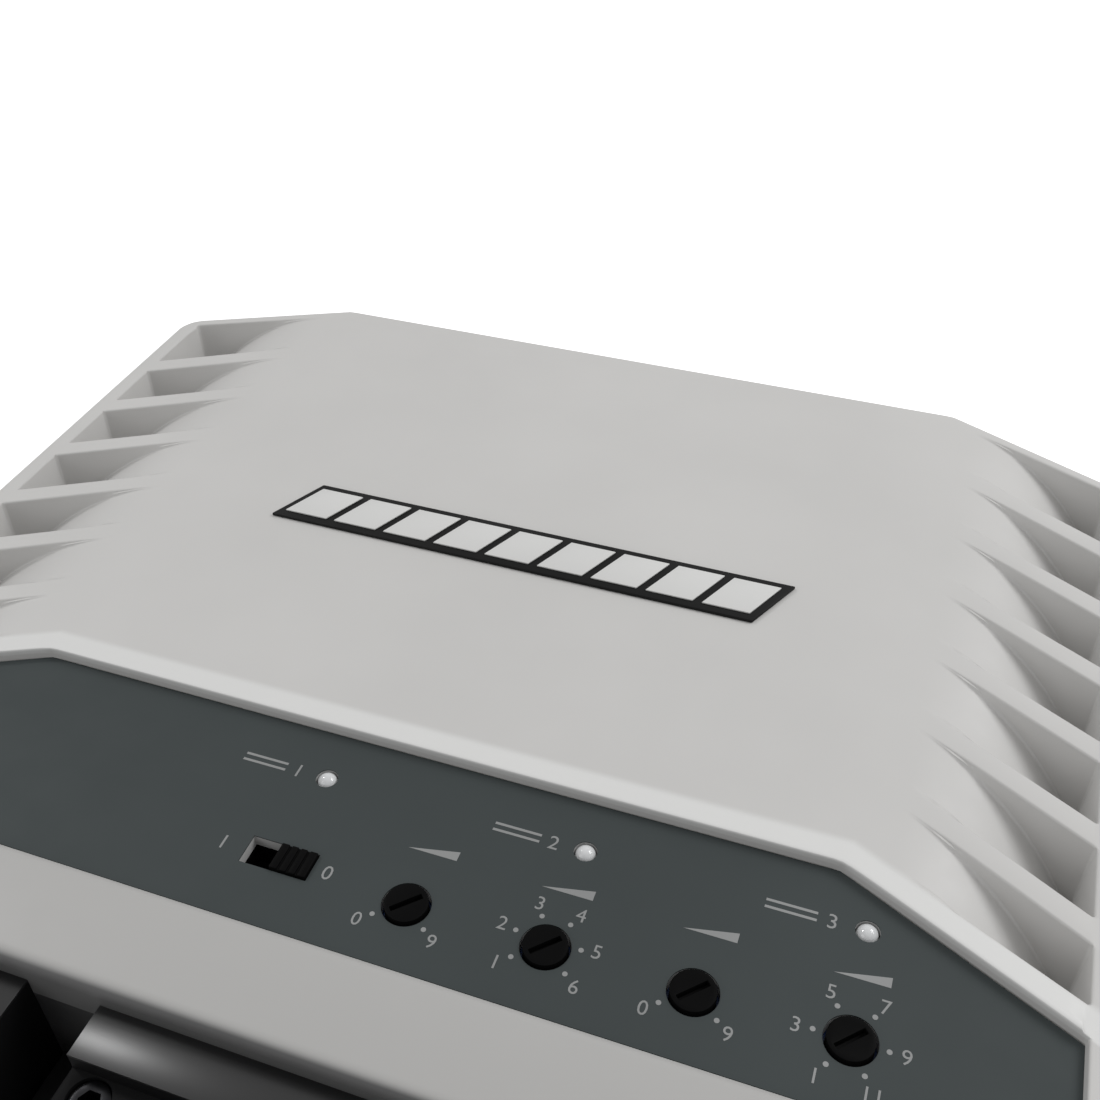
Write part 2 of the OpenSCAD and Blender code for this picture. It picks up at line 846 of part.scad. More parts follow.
module signal_jack_housing() {
    pad = 8;
    color([0.08, 0.08, 0.08])
    box_between(
        [jack_x[0] - pad, y_plate_in, z_board_top],
        [jack_x[1] + pad, y_plate_in + jack_housing_d, jack_z + pad]
    );
}

// A ring about the axis of a jack, from a given plane forwards
module jack_ring(x, y, outer, inner, l) {
    translate([x, y, jack_z])
        rotate([90, 0, 0])
            difference() {
                cylinder(r = outer, h = l);
                translate([0, 0, -1]) cylinder(r = inner, h = l + 2);
            }
}

module signal_jack_shells() {
    color([0.75, 0.75, 0.77])
    for (x = jack_x) jack_ring(x, y_lip, jack_r, jack_bore_r, jack_reach);
}

module signal_jack_insulators() {
    color([0.85, 0.85, 0.85])
    for (x = jack_x)
        jack_ring(x, y_plate_in, jack_bore_r - 0.05, jack_pin_r + 0.55, jack_reach + front_plate_t - 1.5);
}

module signal_jack_contacts() {
    color([0.85, 0.7, 0.3])
    for (x = jack_x)
        jack_ring(x, y_plate_in, jack_pin_r + 0.5, jack_pin_r, jack_reach + front_plate_t - 2);
}

module main_board() {
    notch = boss_r + 1.5;
    color([0.1, 0.3, 0.16])
    translate([0, 0, board_z])
        linear_extrude(board_t)
            difference() {
                intersection() {
                    polygon(shell_points(wall_t + 1.5));
                    translate([-half_w, y_board_front]) square([body_w, y_board_rear - y_board_front]);
                }
                for (p = boss_places) translate([p[0] - notch, p[1] - notch]) square([2 * notch + boss_r, 2 * notch]);
                for (p = boss_places) translate([p[0] - notch - boss_r, p[1] - notch]) square(2 * notch);
                for (p = post_places) translate(p) circle(m3_r + thread_play);
            }
}

module main_board_screws() {
    color([0.7, 0.7, 0.7])
    for (p = post_places)
        translate([p[0], p[1], board_z]) pan_screw(m3_pilot_r, board_t + 6, m3_head_r, m3_head_h);
}

module board_headers() {
    color([0.12, 0.12, 0.12])
    for (z = [z_board_top, z_control - header_h])
        translate([header_place[0] - header_w / 2, header_place[1] - header_d / 2, z])
            cube([header_w, header_d, header_h]);
}

module ribbon_cable() {
    color([0.6, 0.6, 0.62])
    translate([header_place[0] - ribbon_w / 2, header_place[1] - ribbon_t / 2, z_board_top + header_h])
        cube([ribbon_w, ribbon_t, z_control - z_board_top - 2 * header_h]);
}

module control_chips() {
    color([0.09, 0.09, 0.1])
    for (p = chip_places) translate([p[0] - 5, p[1] - 3.5, z_board_top]) cube([10, 7, 2.2]);
}

// A ring with a square section, standing on the main board
module ring(place, outer_d, inner_d, low, high) {
    translate([place[0], place[1], z_board_top + low])
        difference() {
            cylinder(d = outer_d, h = high - low);
            translate([0, 0, -1]) cylinder(d = inner_d, h = high - low + 2);
        }
}

// A winding is the ring's outside with the core's room left out
module winding(place, outer_d, inner_d, h) {
    play = 0.2;
    difference() {
        ring(place, outer_d, inner_d, 0, h);
        ring(
            place, outer_d - 2 * winding_t + 2 * play, inner_d + 2 * winding_t - 2 * play,
            winding_t - play, h - winding_t + play
        );
    }
}

module core(place, outer_d, inner_d, h) {
    ring(place, outer_d - 2 * winding_t, inner_d + 2 * winding_t, winding_t, h - winding_t);
}

module transformer_core() { color([0.3, 0.32, 0.3]) core(toroid_place, toroid_d, toroid_hole_d, toroid_h); }
module transformer_winding() { color([0.7, 0.4, 0.2]) winding(toroid_place, toroid_d, toroid_hole_d, toroid_h); }
module output_inductor_core() { color([0.8, 0.7, 0.3]) core(inductor_place, inductor_d, inductor_hole_d, inductor_h); }
module output_inductor_winding() { color([0.7, 0.4, 0.2]) winding(inductor_place, inductor_d, inductor_hole_d, inductor_h); }

module capacitors(places, r, h) {
    color([0.12, 0.13, 0.18])
    for (p = places)
        difference() {
            post(p, r, z_board_top, z_board_top + h);
            translate([p[0], p[1], z_board_top + 3])
                rotate_extrude() translate([r, 0]) circle(0.8, $fn = 24);
            for (a = [0, 90])
                translate([p[0], p[1], z_board_top + h - 0.4])
                    rotate([0, 0, a]) translate([-r * 0.6, -0.25, 0]) cube([r * 1.2, 0.5, 1]);
        }
}

module input_capacitors() { capacitors(input_cap_places, input_cap_r, input_cap_h); }
module output_capacitors() { capacitors(output_cap_places, output_cap_r, output_cap_h); }

// A row of transistors whose tabs press on the thermal pad
module transistors(s) {
    color([0.1, 0.1, 0.11])
    for (i = [0 : fet_count - 1])
        translate([0, -fet_row / 2 + i * fet_pitch, 0]) mirror([s > 0 ? 0 : 1, 0, 0]) {
            box_between([fet_x - fet_tab_t, -fet_w / 2, fet_z], [fet_x, fet_w / 2, fet_z + fet_tab_h]);
            box_between(
                [fet_x - fet_tab_t - fet_body_t, -fet_w / 2, fet_z],
                [fet_x - fet_tab_t, fet_w / 2, fet_z + fet_body_h]
            );
            for (j = [-1 : 1])
                translate([fet_x - fet_tab_t - 2, j * 2.54 - 0.4, z_board_top]) cube([0.5, 0.8, fet_leg_h + 0.5]);
        }
}

module thermal_pad(s) {
    color([0.5, 0.55, 0.6])
    mirror([s > 0 ? 0 : 1, 0, 0])
        difference() {
            box_between(
                [fet_x, -fet_row / 2 - fet_w / 2 - 1, fet_z],
                [fet_x + pad_thick, fet_row / 2 + fet_w / 2 + 1, cavity_z - 0.3]
            );
            for (y = clamp_y)
                translate([fet_x - 1, y, clamp_bar_z + clamp_bar_h / 2])
                    rotate([0, 90, 0]) cylinder(r = m3_r + thread_play, h = 3);
        }
}

module clamp_bar(s) {
    x1 = fet_x - fet_tab_t - fet_body_t;
    color([0.68, 0.68, 0.7])
    mirror([s > 0 ? 0 : 1, 0, 0])
        difference() {
            box_between(
                [x1 - bar_t, -fet_row / 2 - fet_w / 2 - 1, clamp_bar_z],
                [x1, fet_row / 2 + fet_w / 2 + 1, clamp_bar_z + clamp_bar_h]
            );
            for (y = clamp_y)
                translate([x1 - bar_t - 1, y, clamp_bar_z + clamp_bar_h / 2])
                    rotate([0, 90, 0]) cylinder(r = m3_r + thread_play, h = bar_t + 2);
        }
}

module clamp_screws(s) {
    x1 = fet_x - fet_tab_t - fet_body_t;
    color([0.3, 0.3, 0.32])
    mirror([s > 0 ? 0 : 1, 0, 0])
        for (y = clamp_y)
            translate([x1 - bar_t, y, clamp_bar_z + clamp_bar_h / 2])
                rotate([0, 90, 0]) pan_screw(m3_pilot_r, clamp_screw_l, m3_head_r, m3_head_h);
}

module left_transistors() { transistors(-1); }
module right_transistors() { transistors(1); }
module left_thermal_pad() { thermal_pad(-1); }
module right_thermal_pad() { thermal_pad(1); }
module left_clamp_bar() { clamp_bar(-1); }
module right_clamp_bar() { clamp_bar(1); }
module left_clamp_screws() { clamp_screws(-1); }
module right_clamp_screws() { clamp_screws(1); }

heatsink_shell();
base_plate();
base_gasket();
base_screws();
front_plate();
front_plate_screws();
control_panel();
panel_overlay();
panel_gasket();
badge_plate();
badge_inlay();
control_board();
control_board_screws();
bass_boost_trimmer();
boost_frequency_trimmer();
subsonic_trimmer();
gain_trimmer();
bass_boost_knob();
boost_frequency_knob();
subsonic_knob();
gain_knob();
switch_case();
switch_button();
power_indicator();
output_clip_indicator();
input_clip_indicator();
power_terminal_block();
power_terminal_barrels();
power_set_screws();
speaker_terminal_block();
speaker_terminal_barrels();
speaker_set_screws();
remote_socket();
remote_socket_contacts();
signal_jack_housing();
signal_jack_shells();
signal_jack_insulators();
signal_jack_contacts();
main_board();
main_board_screws();
board_headers();
ribbon_cable();
control_chips();
transformer_core();
transformer_winding();
output_inductor_core();
output_inductor_winding();
input_capacitors();
output_capacitors();
left_transistors();
right_transistors();
left_thermal_pad();
right_thermal_pad();
left_clamp_bar();
right_clamp_bar();
left_clamp_screws();
right_clamp_screws();
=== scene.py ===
"""Looks of a car audio amplifier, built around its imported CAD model.

Every piece is modelled in millimetres, in the CAD model's own frame, and scaled to metres when its mesh is
made.
"""

import math

import bmesh
import bpy
import numpy as np
from mathutils import Matrix, Vector


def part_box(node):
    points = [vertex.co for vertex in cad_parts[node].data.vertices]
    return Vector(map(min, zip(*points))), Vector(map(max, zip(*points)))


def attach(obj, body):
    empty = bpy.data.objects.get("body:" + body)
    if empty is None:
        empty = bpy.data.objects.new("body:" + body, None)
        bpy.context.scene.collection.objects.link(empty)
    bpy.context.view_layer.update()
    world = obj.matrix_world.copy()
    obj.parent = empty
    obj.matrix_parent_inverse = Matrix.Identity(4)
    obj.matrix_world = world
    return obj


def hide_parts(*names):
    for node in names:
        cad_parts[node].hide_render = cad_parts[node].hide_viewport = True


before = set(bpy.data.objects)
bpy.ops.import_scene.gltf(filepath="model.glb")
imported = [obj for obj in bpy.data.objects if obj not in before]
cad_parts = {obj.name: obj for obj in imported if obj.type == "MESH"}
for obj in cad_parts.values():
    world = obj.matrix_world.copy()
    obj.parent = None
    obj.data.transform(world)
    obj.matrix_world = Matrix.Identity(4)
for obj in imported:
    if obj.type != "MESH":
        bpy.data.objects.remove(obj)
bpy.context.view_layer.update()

MM = 0.001
SHARP_ANGLE = 38.0
ROOT = "amplifier"


def box_mm(node):
    """Lowest and highest corner of a CAD node, in millimetres."""
    low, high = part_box(node)
    return np.array(low) / MM, np.array(high) / MM


# ---------------------------------------------------------------- sizes, millimetres

shell_low, shell_high = box_mm("heatsink_shell")
plate_low, plate_high = box_mm("front_plate")
panel_low, panel_high = box_mm("panel_overlay")

HALF_W = shell_high[0]
Y_BACK = shell_high[1]
Y_FRONT = shell_low[1]
Z_TOP = shell_high[2]
Z_SEAT = shell_low[2]
Y_LIP = plate_low[1]
PLATE_GAP = 1.5
Y_LIP_IN = plate_high[1] + PLATE_GAP
Z_LIP = plate_high[2]
Z_PANEL = panel_high[2]
Z_LEDGE = box_mm("panel_gasket")[0][2]
PANEL_GAP = 0.15
Y_PANEL_REAR = panel_high[1] + PANEL_GAP
Y_PANEL_FRONT = panel_low[1] - PANEL_GAP

RIM_T = 3.45
REAR_T = 2.6
WALL_T = 4.5
TOP_T = 3.5
PAD_T = 2.9
CORNER_RUN = 31.7
CORNER_SLOPE = math.tan(math.radians(25.2))
CORNER_R = 6.0
SHOULDER_R = 28.0
SHOULDER_END = 1.0
SHOULDER_X = HALF_W - SHOULDER_END - SHOULDER_R
FIN_START = 37.8
FIN_PITCH = 15.85
FIN_T = 4.4
FIN_COUNT = 6
FIN_SWEEP = 0.56
FIN_INNER_X = SHOULDER_X - 4
BAND_W = 4.1
PANEL_RUN = 32.15
PANEL_SLOPE = math.tan(math.radians(25.9))
PANEL_HALF = HALF_W - RIM_T - PANEL_RUN
WINDOW_INSET = 3.2
WINDOW_END = 15.0
CHEEK_R = Y_LIP - Y_FRONT

# Casting details: draft of the walls and the radii of feet and edges
DRAFT = 0.35
FOOT_R = 0.6
EDGE_R = 0.4
OUTER_R = 0.9
LIP_REAR_R = 2.0
LIP_FRONT_R = 2.0
LIP_FLAT = 8.0
BAND_RISE = 0.35
BAND_EDGE_R = 0.6
RECESS_FOOT = 0.1
RECESS_EDGE = 0.2
RECESS_DRAFT = 0.03
ARC_STEPS = 4
SHELL_SMOOTH = 50.0

# Inside the shell: the bosses for the base plate's screws and the posts that carry the main board
BOSS_R = 4.0
BOSS_H = 12.0
BOSSES = [(side * x, y) for x, y in ((90.6, -52.0), (90.6, 58.0), (40.0, 84.1)) for side in (-1, 1)]
POST_R = 3.2
Z_POST = 10.6
POSTS = [(-82.0, -57.0), (82.0, -57.0), (-60.0, 74.0), (60.0, 74.0), (8.0, -8.4)]

# Places across half of the shell where its mesh has a column, closer together from where the fins begin
COLUMNS_X = [9 * i for i in range(6)]
COLUMNS_X += [52, 57, 60.5, 62.2, 63.4, 64.6, 66, 67.3, 68.6, 69.6, 70.5, 71.5, 72.6, 74]
COLUMNS_X += [75.5, 77, 78.6, 80.2, 82, 83.8, 85.6, 87.3, 88.9, 90.4, 91.7, 92.8]

# Light: where the sky is brightest, its strength at the two ends, and the softboxes' places and powers
SKY_DIRECTION = (0.35, 0.65, 0.68)
SKY_LOW = 0.33
SKY_HIGH = 0.585
MIDDLE = (0, 0, 0.03)
SOFTBOXES = [
    ("rear_softbox", (0.45, 0.30, 0.55), MIDDLE, (0.40, 0.30), 2.0),
    ("front_softbox", (-0.55, -0.62, 0.40), MIDDLE, (0.5, 0.5), 1.0),
    ("side_softbox", (-0.614, 0.148, 0.603), (-0.08, -0.073, 0.05), (0.12, 0.12), 0.95),
]

# Camera: its place in millimetres, its axes and its focal length
CAMERA_PLACE = Vector((63.43, Y_BACK - 224.94, Z_TOP + 144.29))
CAMERA_RIGHT = Vector((0.94215, 0.33494, -0.01264))
CAMERA_UP = Vector((-0.20644, 0.60957, 0.76538))
CAMERA_FORWARD = Vector((-0.26406, 0.71849, -0.64346))
CAMERA_LENS = 42.16


# ---------------------------------------------------------------- mesh helpers


def new_piece(name, mesh, material, body=ROOT, replaces=(), smooth_angle=32.0):
    """An object made from a mesh in metres, on its CAD body, with its finish; the CAD nodes it stands for
    are hidden.
    """
    for polygon in mesh.polygons:
        polygon.use_smooth = True
    mesh.set_sharp_from_angle(angle=math.radians(smooth_angle))
    piece = bpy.data.objects.new(name, mesh)
    bpy.context.scene.collection.objects.link(piece)
    mesh.materials.clear()
    mesh.materials.append(material)
    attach(piece, body)
    if replaces:
        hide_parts(*replaces)
    return piece


def mesh_from(name, points, faces):
    """A mesh in metres from points in millimetres, with its normals outwards."""
    mesh = bpy.data.meshes.new(name)
    mesh.from_pydata([tuple(c * MM for c in p) for p in points], [], faces)
    work = bmesh.new()
    work.from_mesh(mesh)
    bmesh.ops.remove_doubles(work, verts=work.verts, dist=0.002 * MM)
    bmesh.ops.recalc_face_normals(work, faces=work.faces)
    work.to_mesh(mesh)
    work.free()
    return mesh


def prism(name, outline, low, high):
    """An upright prism over a plan outline."""
    count = len(outline)
    points = [(x, y, low) for x, y in outline] + [(x, y, high) for x, y in outline]
    faces = [tuple(range(count)), tuple(range(count, 2 * count))]
    faces += [(i, (i + 1) % count, count + (i + 1) % count, count + i) for i in range(count)]
    return mesh_from(name, points, faces)


def sweep_y(name, section, y0, y1):
    """A prism along Y over a section drawn in X and Z."""
    count = len(section)
    points = [(x, y0, z) for x, z in section] + [(x, y1, z) for x, z in section]
    faces = [tuple(range(count)), tuple(range(count, 2 * count))]
    faces += [(i, (i + 1) % count, count + (i + 1) % count, count + i) for i in range(count)]
    return mesh_from(name, points, faces)


def box(name, low, high):
    """A box between two corners."""
    outline = [(low[0], low[1]), (high[0], low[1]), (high[0], high[1]), (low[0], high[1])]
    return prism(name, outline, low[2], high[2])


def circle(x, y, r, count=40):
    """Points of a circle."""
    turns = [2 * math.pi * i / count for i in range(count)]
    return [(x + r * math.cos(a), y + r * math.sin(a)) for a in turns]


def combined(base, *steps):
    """Base mesh after a list of (operation, mesh) boolean steps, as a new mesh."""
    made = bpy.data.objects.new("work", base)
    bpy.context.scene.collection.objects.link(made)
    others = []
    for operation, mesh in steps:
        other = bpy.data.objects.new("tool", mesh)
        bpy.context.scene.collection.objects.link(other)
        others.append(other)
        modifier = made.modifiers.new("step", "BOOLEAN")
        modifier.operation = operation
        modifier.solver = "EXACT"
        modifier.object = other
    bpy.context.view_layer.update()
    graph = bpy.context.evaluated_depsgraph_get()
    result = bpy.data.meshes.new_from_object(made.evaluated_get(graph))
    for o in [made, *others]:
        bpy.data.objects.remove(o)
    return result


def joined(*meshes):
    """Several meshes as one, without merging them."""
    work = bmesh.new()
    for mesh in meshes:
        work.from_mesh(mesh)
    result = bpy.data.meshes.new("joined")
    work.to_mesh(result)
    work.free()
    return result


def rounded_copy(node, width):
    """The CAD node's own mesh with its sharp edges rounded by a width in millimetres."""
    work = bmesh.new()
    work.from_mesh(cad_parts[node].data)
    bmesh.ops.remove_doubles(work, verts=work.verts, dist=0.004 * MM)
    bmesh.ops.dissolve_limit(
        work, angle_limit=math.radians(0.6), verts=work.verts, edges=work.edges, delimit={"NORMAL"}
    )
    sharp = [
        e for e in work.edges
        if len(e.link_faces) == 2 and e.calc_face_angle(0) > math.radians(SHARP_ANGLE)
    ]
    bmesh.ops.bevel(
        work, geom=sharp, offset=width * MM, offset_type="OFFSET", segments=2, profile=0.5,
        affect="EDGES", clamp_overlap=True,
    )
    bmesh.ops.triangulate(work, faces=[f for f in work.faces if len(f.verts) > 4])
    result = bpy.data.meshes.new(node)
    work.to_mesh(result)
    work.free()
    return result


def finish_node(node, width, material, body=ROOT):
    """A rounded copy of a CAD node that stands for it."""
    return new_piece(node + "_finish", rounded_copy(node, width), material, body, [node])


# ---------------------------------------------------------------- materials


class Nodes:
    """Short calls for building one material's node tree."""

    def __init__(self, name):
        self.material = bpy.data.materials.new(name)
        self.material.use_nodes = True
        self.tree = self.material.node_tree
        self.shader = self.tree.nodes["Principled BSDF"]
        self.place = self.add("ShaderNodeTexCoord").outputs["Object"]

    def add(self, kind, **values):
        node = self.tree.nodes.new(kind)
        for key, value in values.items():
            setattr(node, key, value)
        return node

    def link(self, a, b):
        self.tree.links.new(a, b)

    def noise(self, scale, detail=3.0, rough=0.5, stretch=None):
        """Noise in the object's own metres, so its grain keeps its real size."""
        node = self.add("ShaderNodeTexNoise")
        node.inputs["Scale"].default_value = scale
        node.inputs["Detail"].default_value = detail
        node.inputs["Roughness"].default_value = rough
        if stretch:
            mapping = self.add("ShaderNodeMapping")
            mapping.inputs["Scale"].default_value = stretch
            self.link(self.place, mapping.inputs["Vector"])
            self.link(mapping.outputs["Vector"], node.inputs["Vector"])
        else:
            self.link(self.place, node.inputs["Vector"])
        return node.outputs["Fac"]

    def ramp(self, value, low, high, start=0.0, end=1.0):
        """Colour ramp from one value or colour to another."""
        node = self.add("ShaderNodeValToRGB")
        for stop, position, colour in ((0, start, low), (1, end, high)):
            if not hasattr(colour, "__len__"):
                colour = (colour, colour, colour)
            node.color_ramp.elements[stop].position = position
            node.color_ramp.elements[stop].color = (*colour, 1)
        self.link(value, node.inputs["Fac"])
        return node.outputs["Color"]

    def mix(self, factor, a, b, kind="MIX"):
        """Mix of two colour outputs or colours."""
        node = self.add("ShaderNodeMix", data_type="RGBA", blend_type=kind)
        for socket, value in ((0, factor), (6, a), (7, b)):
            if hasattr(value, "default_value") or hasattr(value, "links"):
                self.link(value, node.inputs[socket])
            else:
                node.inputs[socket].default_value = value if socket == 0 else (*value, 1)
        return node.outputs[2]

    def math(self, operation, a, b=0.0, c=0.0):
        """One math node on outputs or numbers."""
        node = self.add("ShaderNodeMath", operation=operation)
        for socket, value in zip(node.inputs, (a, b, c)):
            if hasattr(value, "links"):
                self.link(value, socket)
            else:
                socket.default_value = value
        return node.outputs["Value"]

    def step(self, value, start, end):
        """0 before start and 1 after end, with a soft change between them."""
        node = self.add("ShaderNodeMapRange", interpolation_type="SMOOTHSTEP")
        self.link(value, node.inputs["Value"])
        node.inputs["From Min"].default_value = start
        node.inputs["From Max"].default_value = end
        return node.outputs["Result"]

    def millimetres(self):
        """The place's x, y and z in millimetres."""
        split = self.add("ShaderNodeSeparateXYZ")
        self.link(self.place, split.inputs["Vector"])
        return [self.math("DIVIDE", split.outputs[axis], MM) for axis in "XYZ"]

    def bump(self, height, strength, distance):
        node = self.add("ShaderNodeBump")
        node.inputs["Strength"].default_value = strength
        node.inputs["Distance"].default_value = distance
        self.link(height, node.inputs["Height"])
        self.link(node.outputs["Normal"], self.shader.inputs["Normal"])
        return node

    def set(self, **values):
        for key, value in values.items():
            self.shader.inputs[key.replace("_", " ")].default_value = value


def coated(
    name, colour, spread=0.04, rough=(0.42, 0.52), grain=2600.0, bump=0.12, depth=0.00002, specular=0.5
):
    """Powder coat or moulded surface: a fine grain, and colour and gloss that drift slowly."""
    n = Nodes(name)
    drift = n.noise(28.0, 4.0)
    fine = n.noise(grain, 2.0, 0.6)
    low = tuple(c * (1 - spread) for c in colour)
    high = tuple(c * (1 + spread) for c in colour)
    n.link(n.ramp(drift, low, high, 0.3, 0.7), n.shader.inputs["Base Color"])
    n.link(n.ramp(n.noise(140.0, 3.0), rough[0], rough[1], 0.35, 0.65), n.shader.inputs["Roughness"])
    n.bump(fine, bump, depth)
    n.set(Specular_IOR_Level=specular)
    return n.material


def cast_paint_and_painted_light():
    """Silver-grey powder coat, painted lighter on the band round the panel as a painted highlight, and
    darker on the lip's top, its round front edge and its front face as painted shade.
    """
    n = Nodes("cast_shell")
    x, y, z = n.millimetres()
    flat_gap = n.math("SUBTRACT", y, Y_PANEL_REAR)
    side_run = n.math("SUBTRACT", n.math("ABSOLUTE", x), PANEL_HALF)
    slant_gap = n.math("MULTIPLY_ADD", side_run, PANEL_SLOPE, flat_gap)
    slant_gap = n.math("DIVIDE", slant_gap, math.hypot(1, PANEL_SLOPE))
    gap = n.math("MAXIMUM", flat_gap, slant_gap)
    on_top = n.step(z, Z_TOP - 0.9, Z_TOP - 0.4)
    # Painted highlight: a lighter tone on the top of the band round the panel, where the light catches it
    in_band = n.math("MULTIPLY", n.step(gap, BAND_W + 0.7, BAND_W - 0.7), n.step(gap, -0.3, 0.1))
    behind_lip = n.step(y, Y_PANEL_FRONT + 0.5, Y_PANEL_FRONT + 6)
    band = n.math("MULTIPLY", n.math("MULTIPLY", in_band, on_top), behind_lip)
    # Painted shade: a darker tone on the top of the lip in front of the panel
    over_lip = n.step(y, Y_PANEL_FRONT + 2, Y_PANEL_FRONT - 1)
    lip = n.math("MULTIPLY", over_lip, n.step(z, Z_TOP - 1.3, Z_TOP - 0.4))
    # Painted shade: a near-black tone on the lip's round front edge
    turn = n.math("MULTIPLY", n.step(y, Y_LIP + 2.6, Y_LIP + 1.6), n.step(z, Z_TOP - 0.05, Z_TOP - 0.8))
    # Painted shade: the lip's front face darkened as if in shadow
    face = n.math("MULTIPLY", n.step(y, Y_LIP + 0.5, Y_LIP + 0.1), n.step(z, Z_TOP - 1.9, Z_TOP - 2.3))
    # The painted shades on the front edge and face stop short of the side walls
    inside = n.step(n.math("ABSOLUTE", x), HALF_W - WALL_T + 0.6, HALF_W - WALL_T)
    turn, face = n.math("MULTIPLY", turn, inside), n.math("MULTIPLY", face, inside)
    drift = n.noise(28.0, 4.0)
    low = tuple(c * 0.975 for c in SHELL_COLOUR)
    high = tuple(c * 1.025 for c in SHELL_COLOUR)
    colour = n.ramp(drift, low, high, 0.3, 0.7)
    # The painted highlight and the painted shades are laid over the coat's own colour
    painted_light_tones = ((band, BAND_PAINTED_HIGHLIGHT), (lip, LIP_PAINTED_SHADE), (turn, LIP_ROUND_PAINTED_SHADE), (face, LIP_FACE_PAINTED_SHADE))
    for mask, tone in painted_light_tones:
        colour = n.mix(mask, colour, tone)
    n.link(colour, n.shader.inputs["Base Color"])
    n.link(n.ramp(n.noise(140.0, 3.0), 0.42, 0.52, 0.35, 0.65), n.shader.inputs["Roughness"])
    n.bump(n.noise(2600.0, 2.0, 0.6), 0.10, 0.00002)
    return n.material


def terminal_moulding():
    """Black moulding, satin on the raised bar and matt in and around the screw wells."""
    n = Nodes("terminal_plastic")
    z = n.millimetres()[2]
    bar_top = box_mm("power_terminal_block")[1][2]
    bar = n.step(z, bar_top - 0.6, bar_top - 0.1)
    fine = n.noise(1400.0, 2.0, 0.6)
    colour = n.ramp(n.noise(28.0), (0.004, 0.004, 0.0043), (0.006, 0.006, 0.0064))
    n.link(colour, n.shader.inputs["Base Color"])
    n.link(n.ramp(bar, 0.55, 0.30), n.shader.inputs["Roughness"])
    n.link(n.ramp(bar, 0.12, 0.85), n.shader.inputs["Specular IOR Level"])
    n.bump(fine, 0.05, 0.00002)
    return n.material


def metal(name, colour, rough=(0.25, 0.4), stretch=(1.0, 1.0, 1.0), grain=900.0, bump=0.05):
    """Bare metal with a fine directional grain."""
    n = Nodes(name)
    grain_value = n.noise(grain, 3.0, 0.6, stretch)
    low = tuple(c * 0.88 for c in colour)
    n.link(n.ramp(grain_value, low, colour, 0.3, 0.7), n.shader.inputs["Base Color"])
    coarse_value = n.noise(grain * 0.4, 3.0, 0.5, stretch)
    n.link(n.ramp(coarse_value, rough[0], rough[1], 0.3, 0.7), n.shader.inputs["Roughness"])
    n.bump(grain_value, bump, 0.00002)
    n.set(Metallic=1.0)
    return n.material


def circuit_board():
    """Green solder mask with tracks and pads under it."""
    n = Nodes("circuit_board")
    brick = n.add("ShaderNodeTexBrick")
    brick.inputs["Scale"].default_value = 160.0
    brick.inputs["Mortar Size"].default_value = 0.06
    brick.inputs["Color1"].default_value = (0.010, 0.10, 0.045, 1)
    brick.inputs["Color2"].default_value = (0.014, 0.13, 0.055, 1)
    brick.inputs["Mortar"].default_value = (0.03, 0.22, 0.10, 1)
    n.link(n.place, brick.inputs["Vector"])
    n.link(brick.outputs["Color"], n.shader.inputs["Base Color"])
    n.link(n.ramp(n.noise(300.0), 0.22, 0.36), n.shader.inputs["Roughness"])
    n.bump(brick.outputs["Fac"], 0.2, 0.00003)
    return n.material


def wound_wire():
    """Enamelled wire laid side by side."""
    n = Nodes("copper_winding")
    wave = n.add("ShaderNodeTexWave", wave_type="RINGS", rings_direction="Z")
    wave.inputs["Scale"].default_value = 160.0
    wave.inputs["Distortion"].default_value = 1.5
    n.link(n.place, wave.inputs["Vector"])
    colour = n.ramp(wave.outputs["Fac"], (0.30, 0.10, 0.03), (0.75, 0.33, 0.13))
    n.link(colour, n.shader.inputs["Base Color"])
    n.link(n.ramp(wave.outputs["Fac"], 0.28, 0.45), n.shader.inputs["Roughness"])
    n.bump(wave.outputs["Fac"], 0.8, 0.0003)
    n.set(Metallic=0.85)
    return n.material


def lens():
    """Clear lens over a pale diffuser."""
    n = Nodes("indicator_lens")
    n.link(n.ramp(n.noise(600.0), (0.66, 0.67, 0.68), (0.76, 0.77, 0.78)), n.shader.inputs["Base Color"])
    n.link(n.ramp(n.noise(900.0), 0.06, 0.12), n.shader.inputs["Roughness"])
    n.set(Coat_Weight=0.6, Coat_Roughness=0.04, Subsurface_Weight=0.15)
    n.shader.inputs["Subsurface Radius"].default_value = (0.002, 0.002, 0.002)
    return n.material


def jack_plastic():
    """White insulator on the left jack and red on the right one."""
    n = Nodes("jack_insulator")
    low, high = box_mm("signal_jack_insulators")
    on_right = n.math("GREATER_THAN", n.millimetres()[0], (low[0] + high[0]) / 2)
    white = n.ramp(n.noise(400.0), (0.66, 0.66, 0.64), (0.74, 0.74, 0.72))
    red = n.ramp(n.noise(400.0), (0.38, 0.015, 0.012), (0.45, 0.02, 0.016))
    n.link(n.mix(on_right, white, red), n.shader.inputs["Base Color"])
    n.link(n.ramp(n.noise(500.0), 0.3, 0.42), n.shader.inputs["Roughness"])
    return n.material


SHELL_COLOUR = (0.615, 0.608, 0.596)
# Painted highlight on the band round the panel
BAND_PAINTED_HIGHLIGHT = (0.73, 0.73, 0.72)
# Painted shade on the lip's top
LIP_PAINTED_SHADE = (0.465, 0.46, 0.45)
# Painted shade on the lip's round front edge
LIP_ROUND_PAINTED_SHADE = (0.11, 0.11, 0.11)
# Painted shade on the lip's front face
LIP_FACE_PAINTED_SHADE = (0.10, 0.10, 0.10)

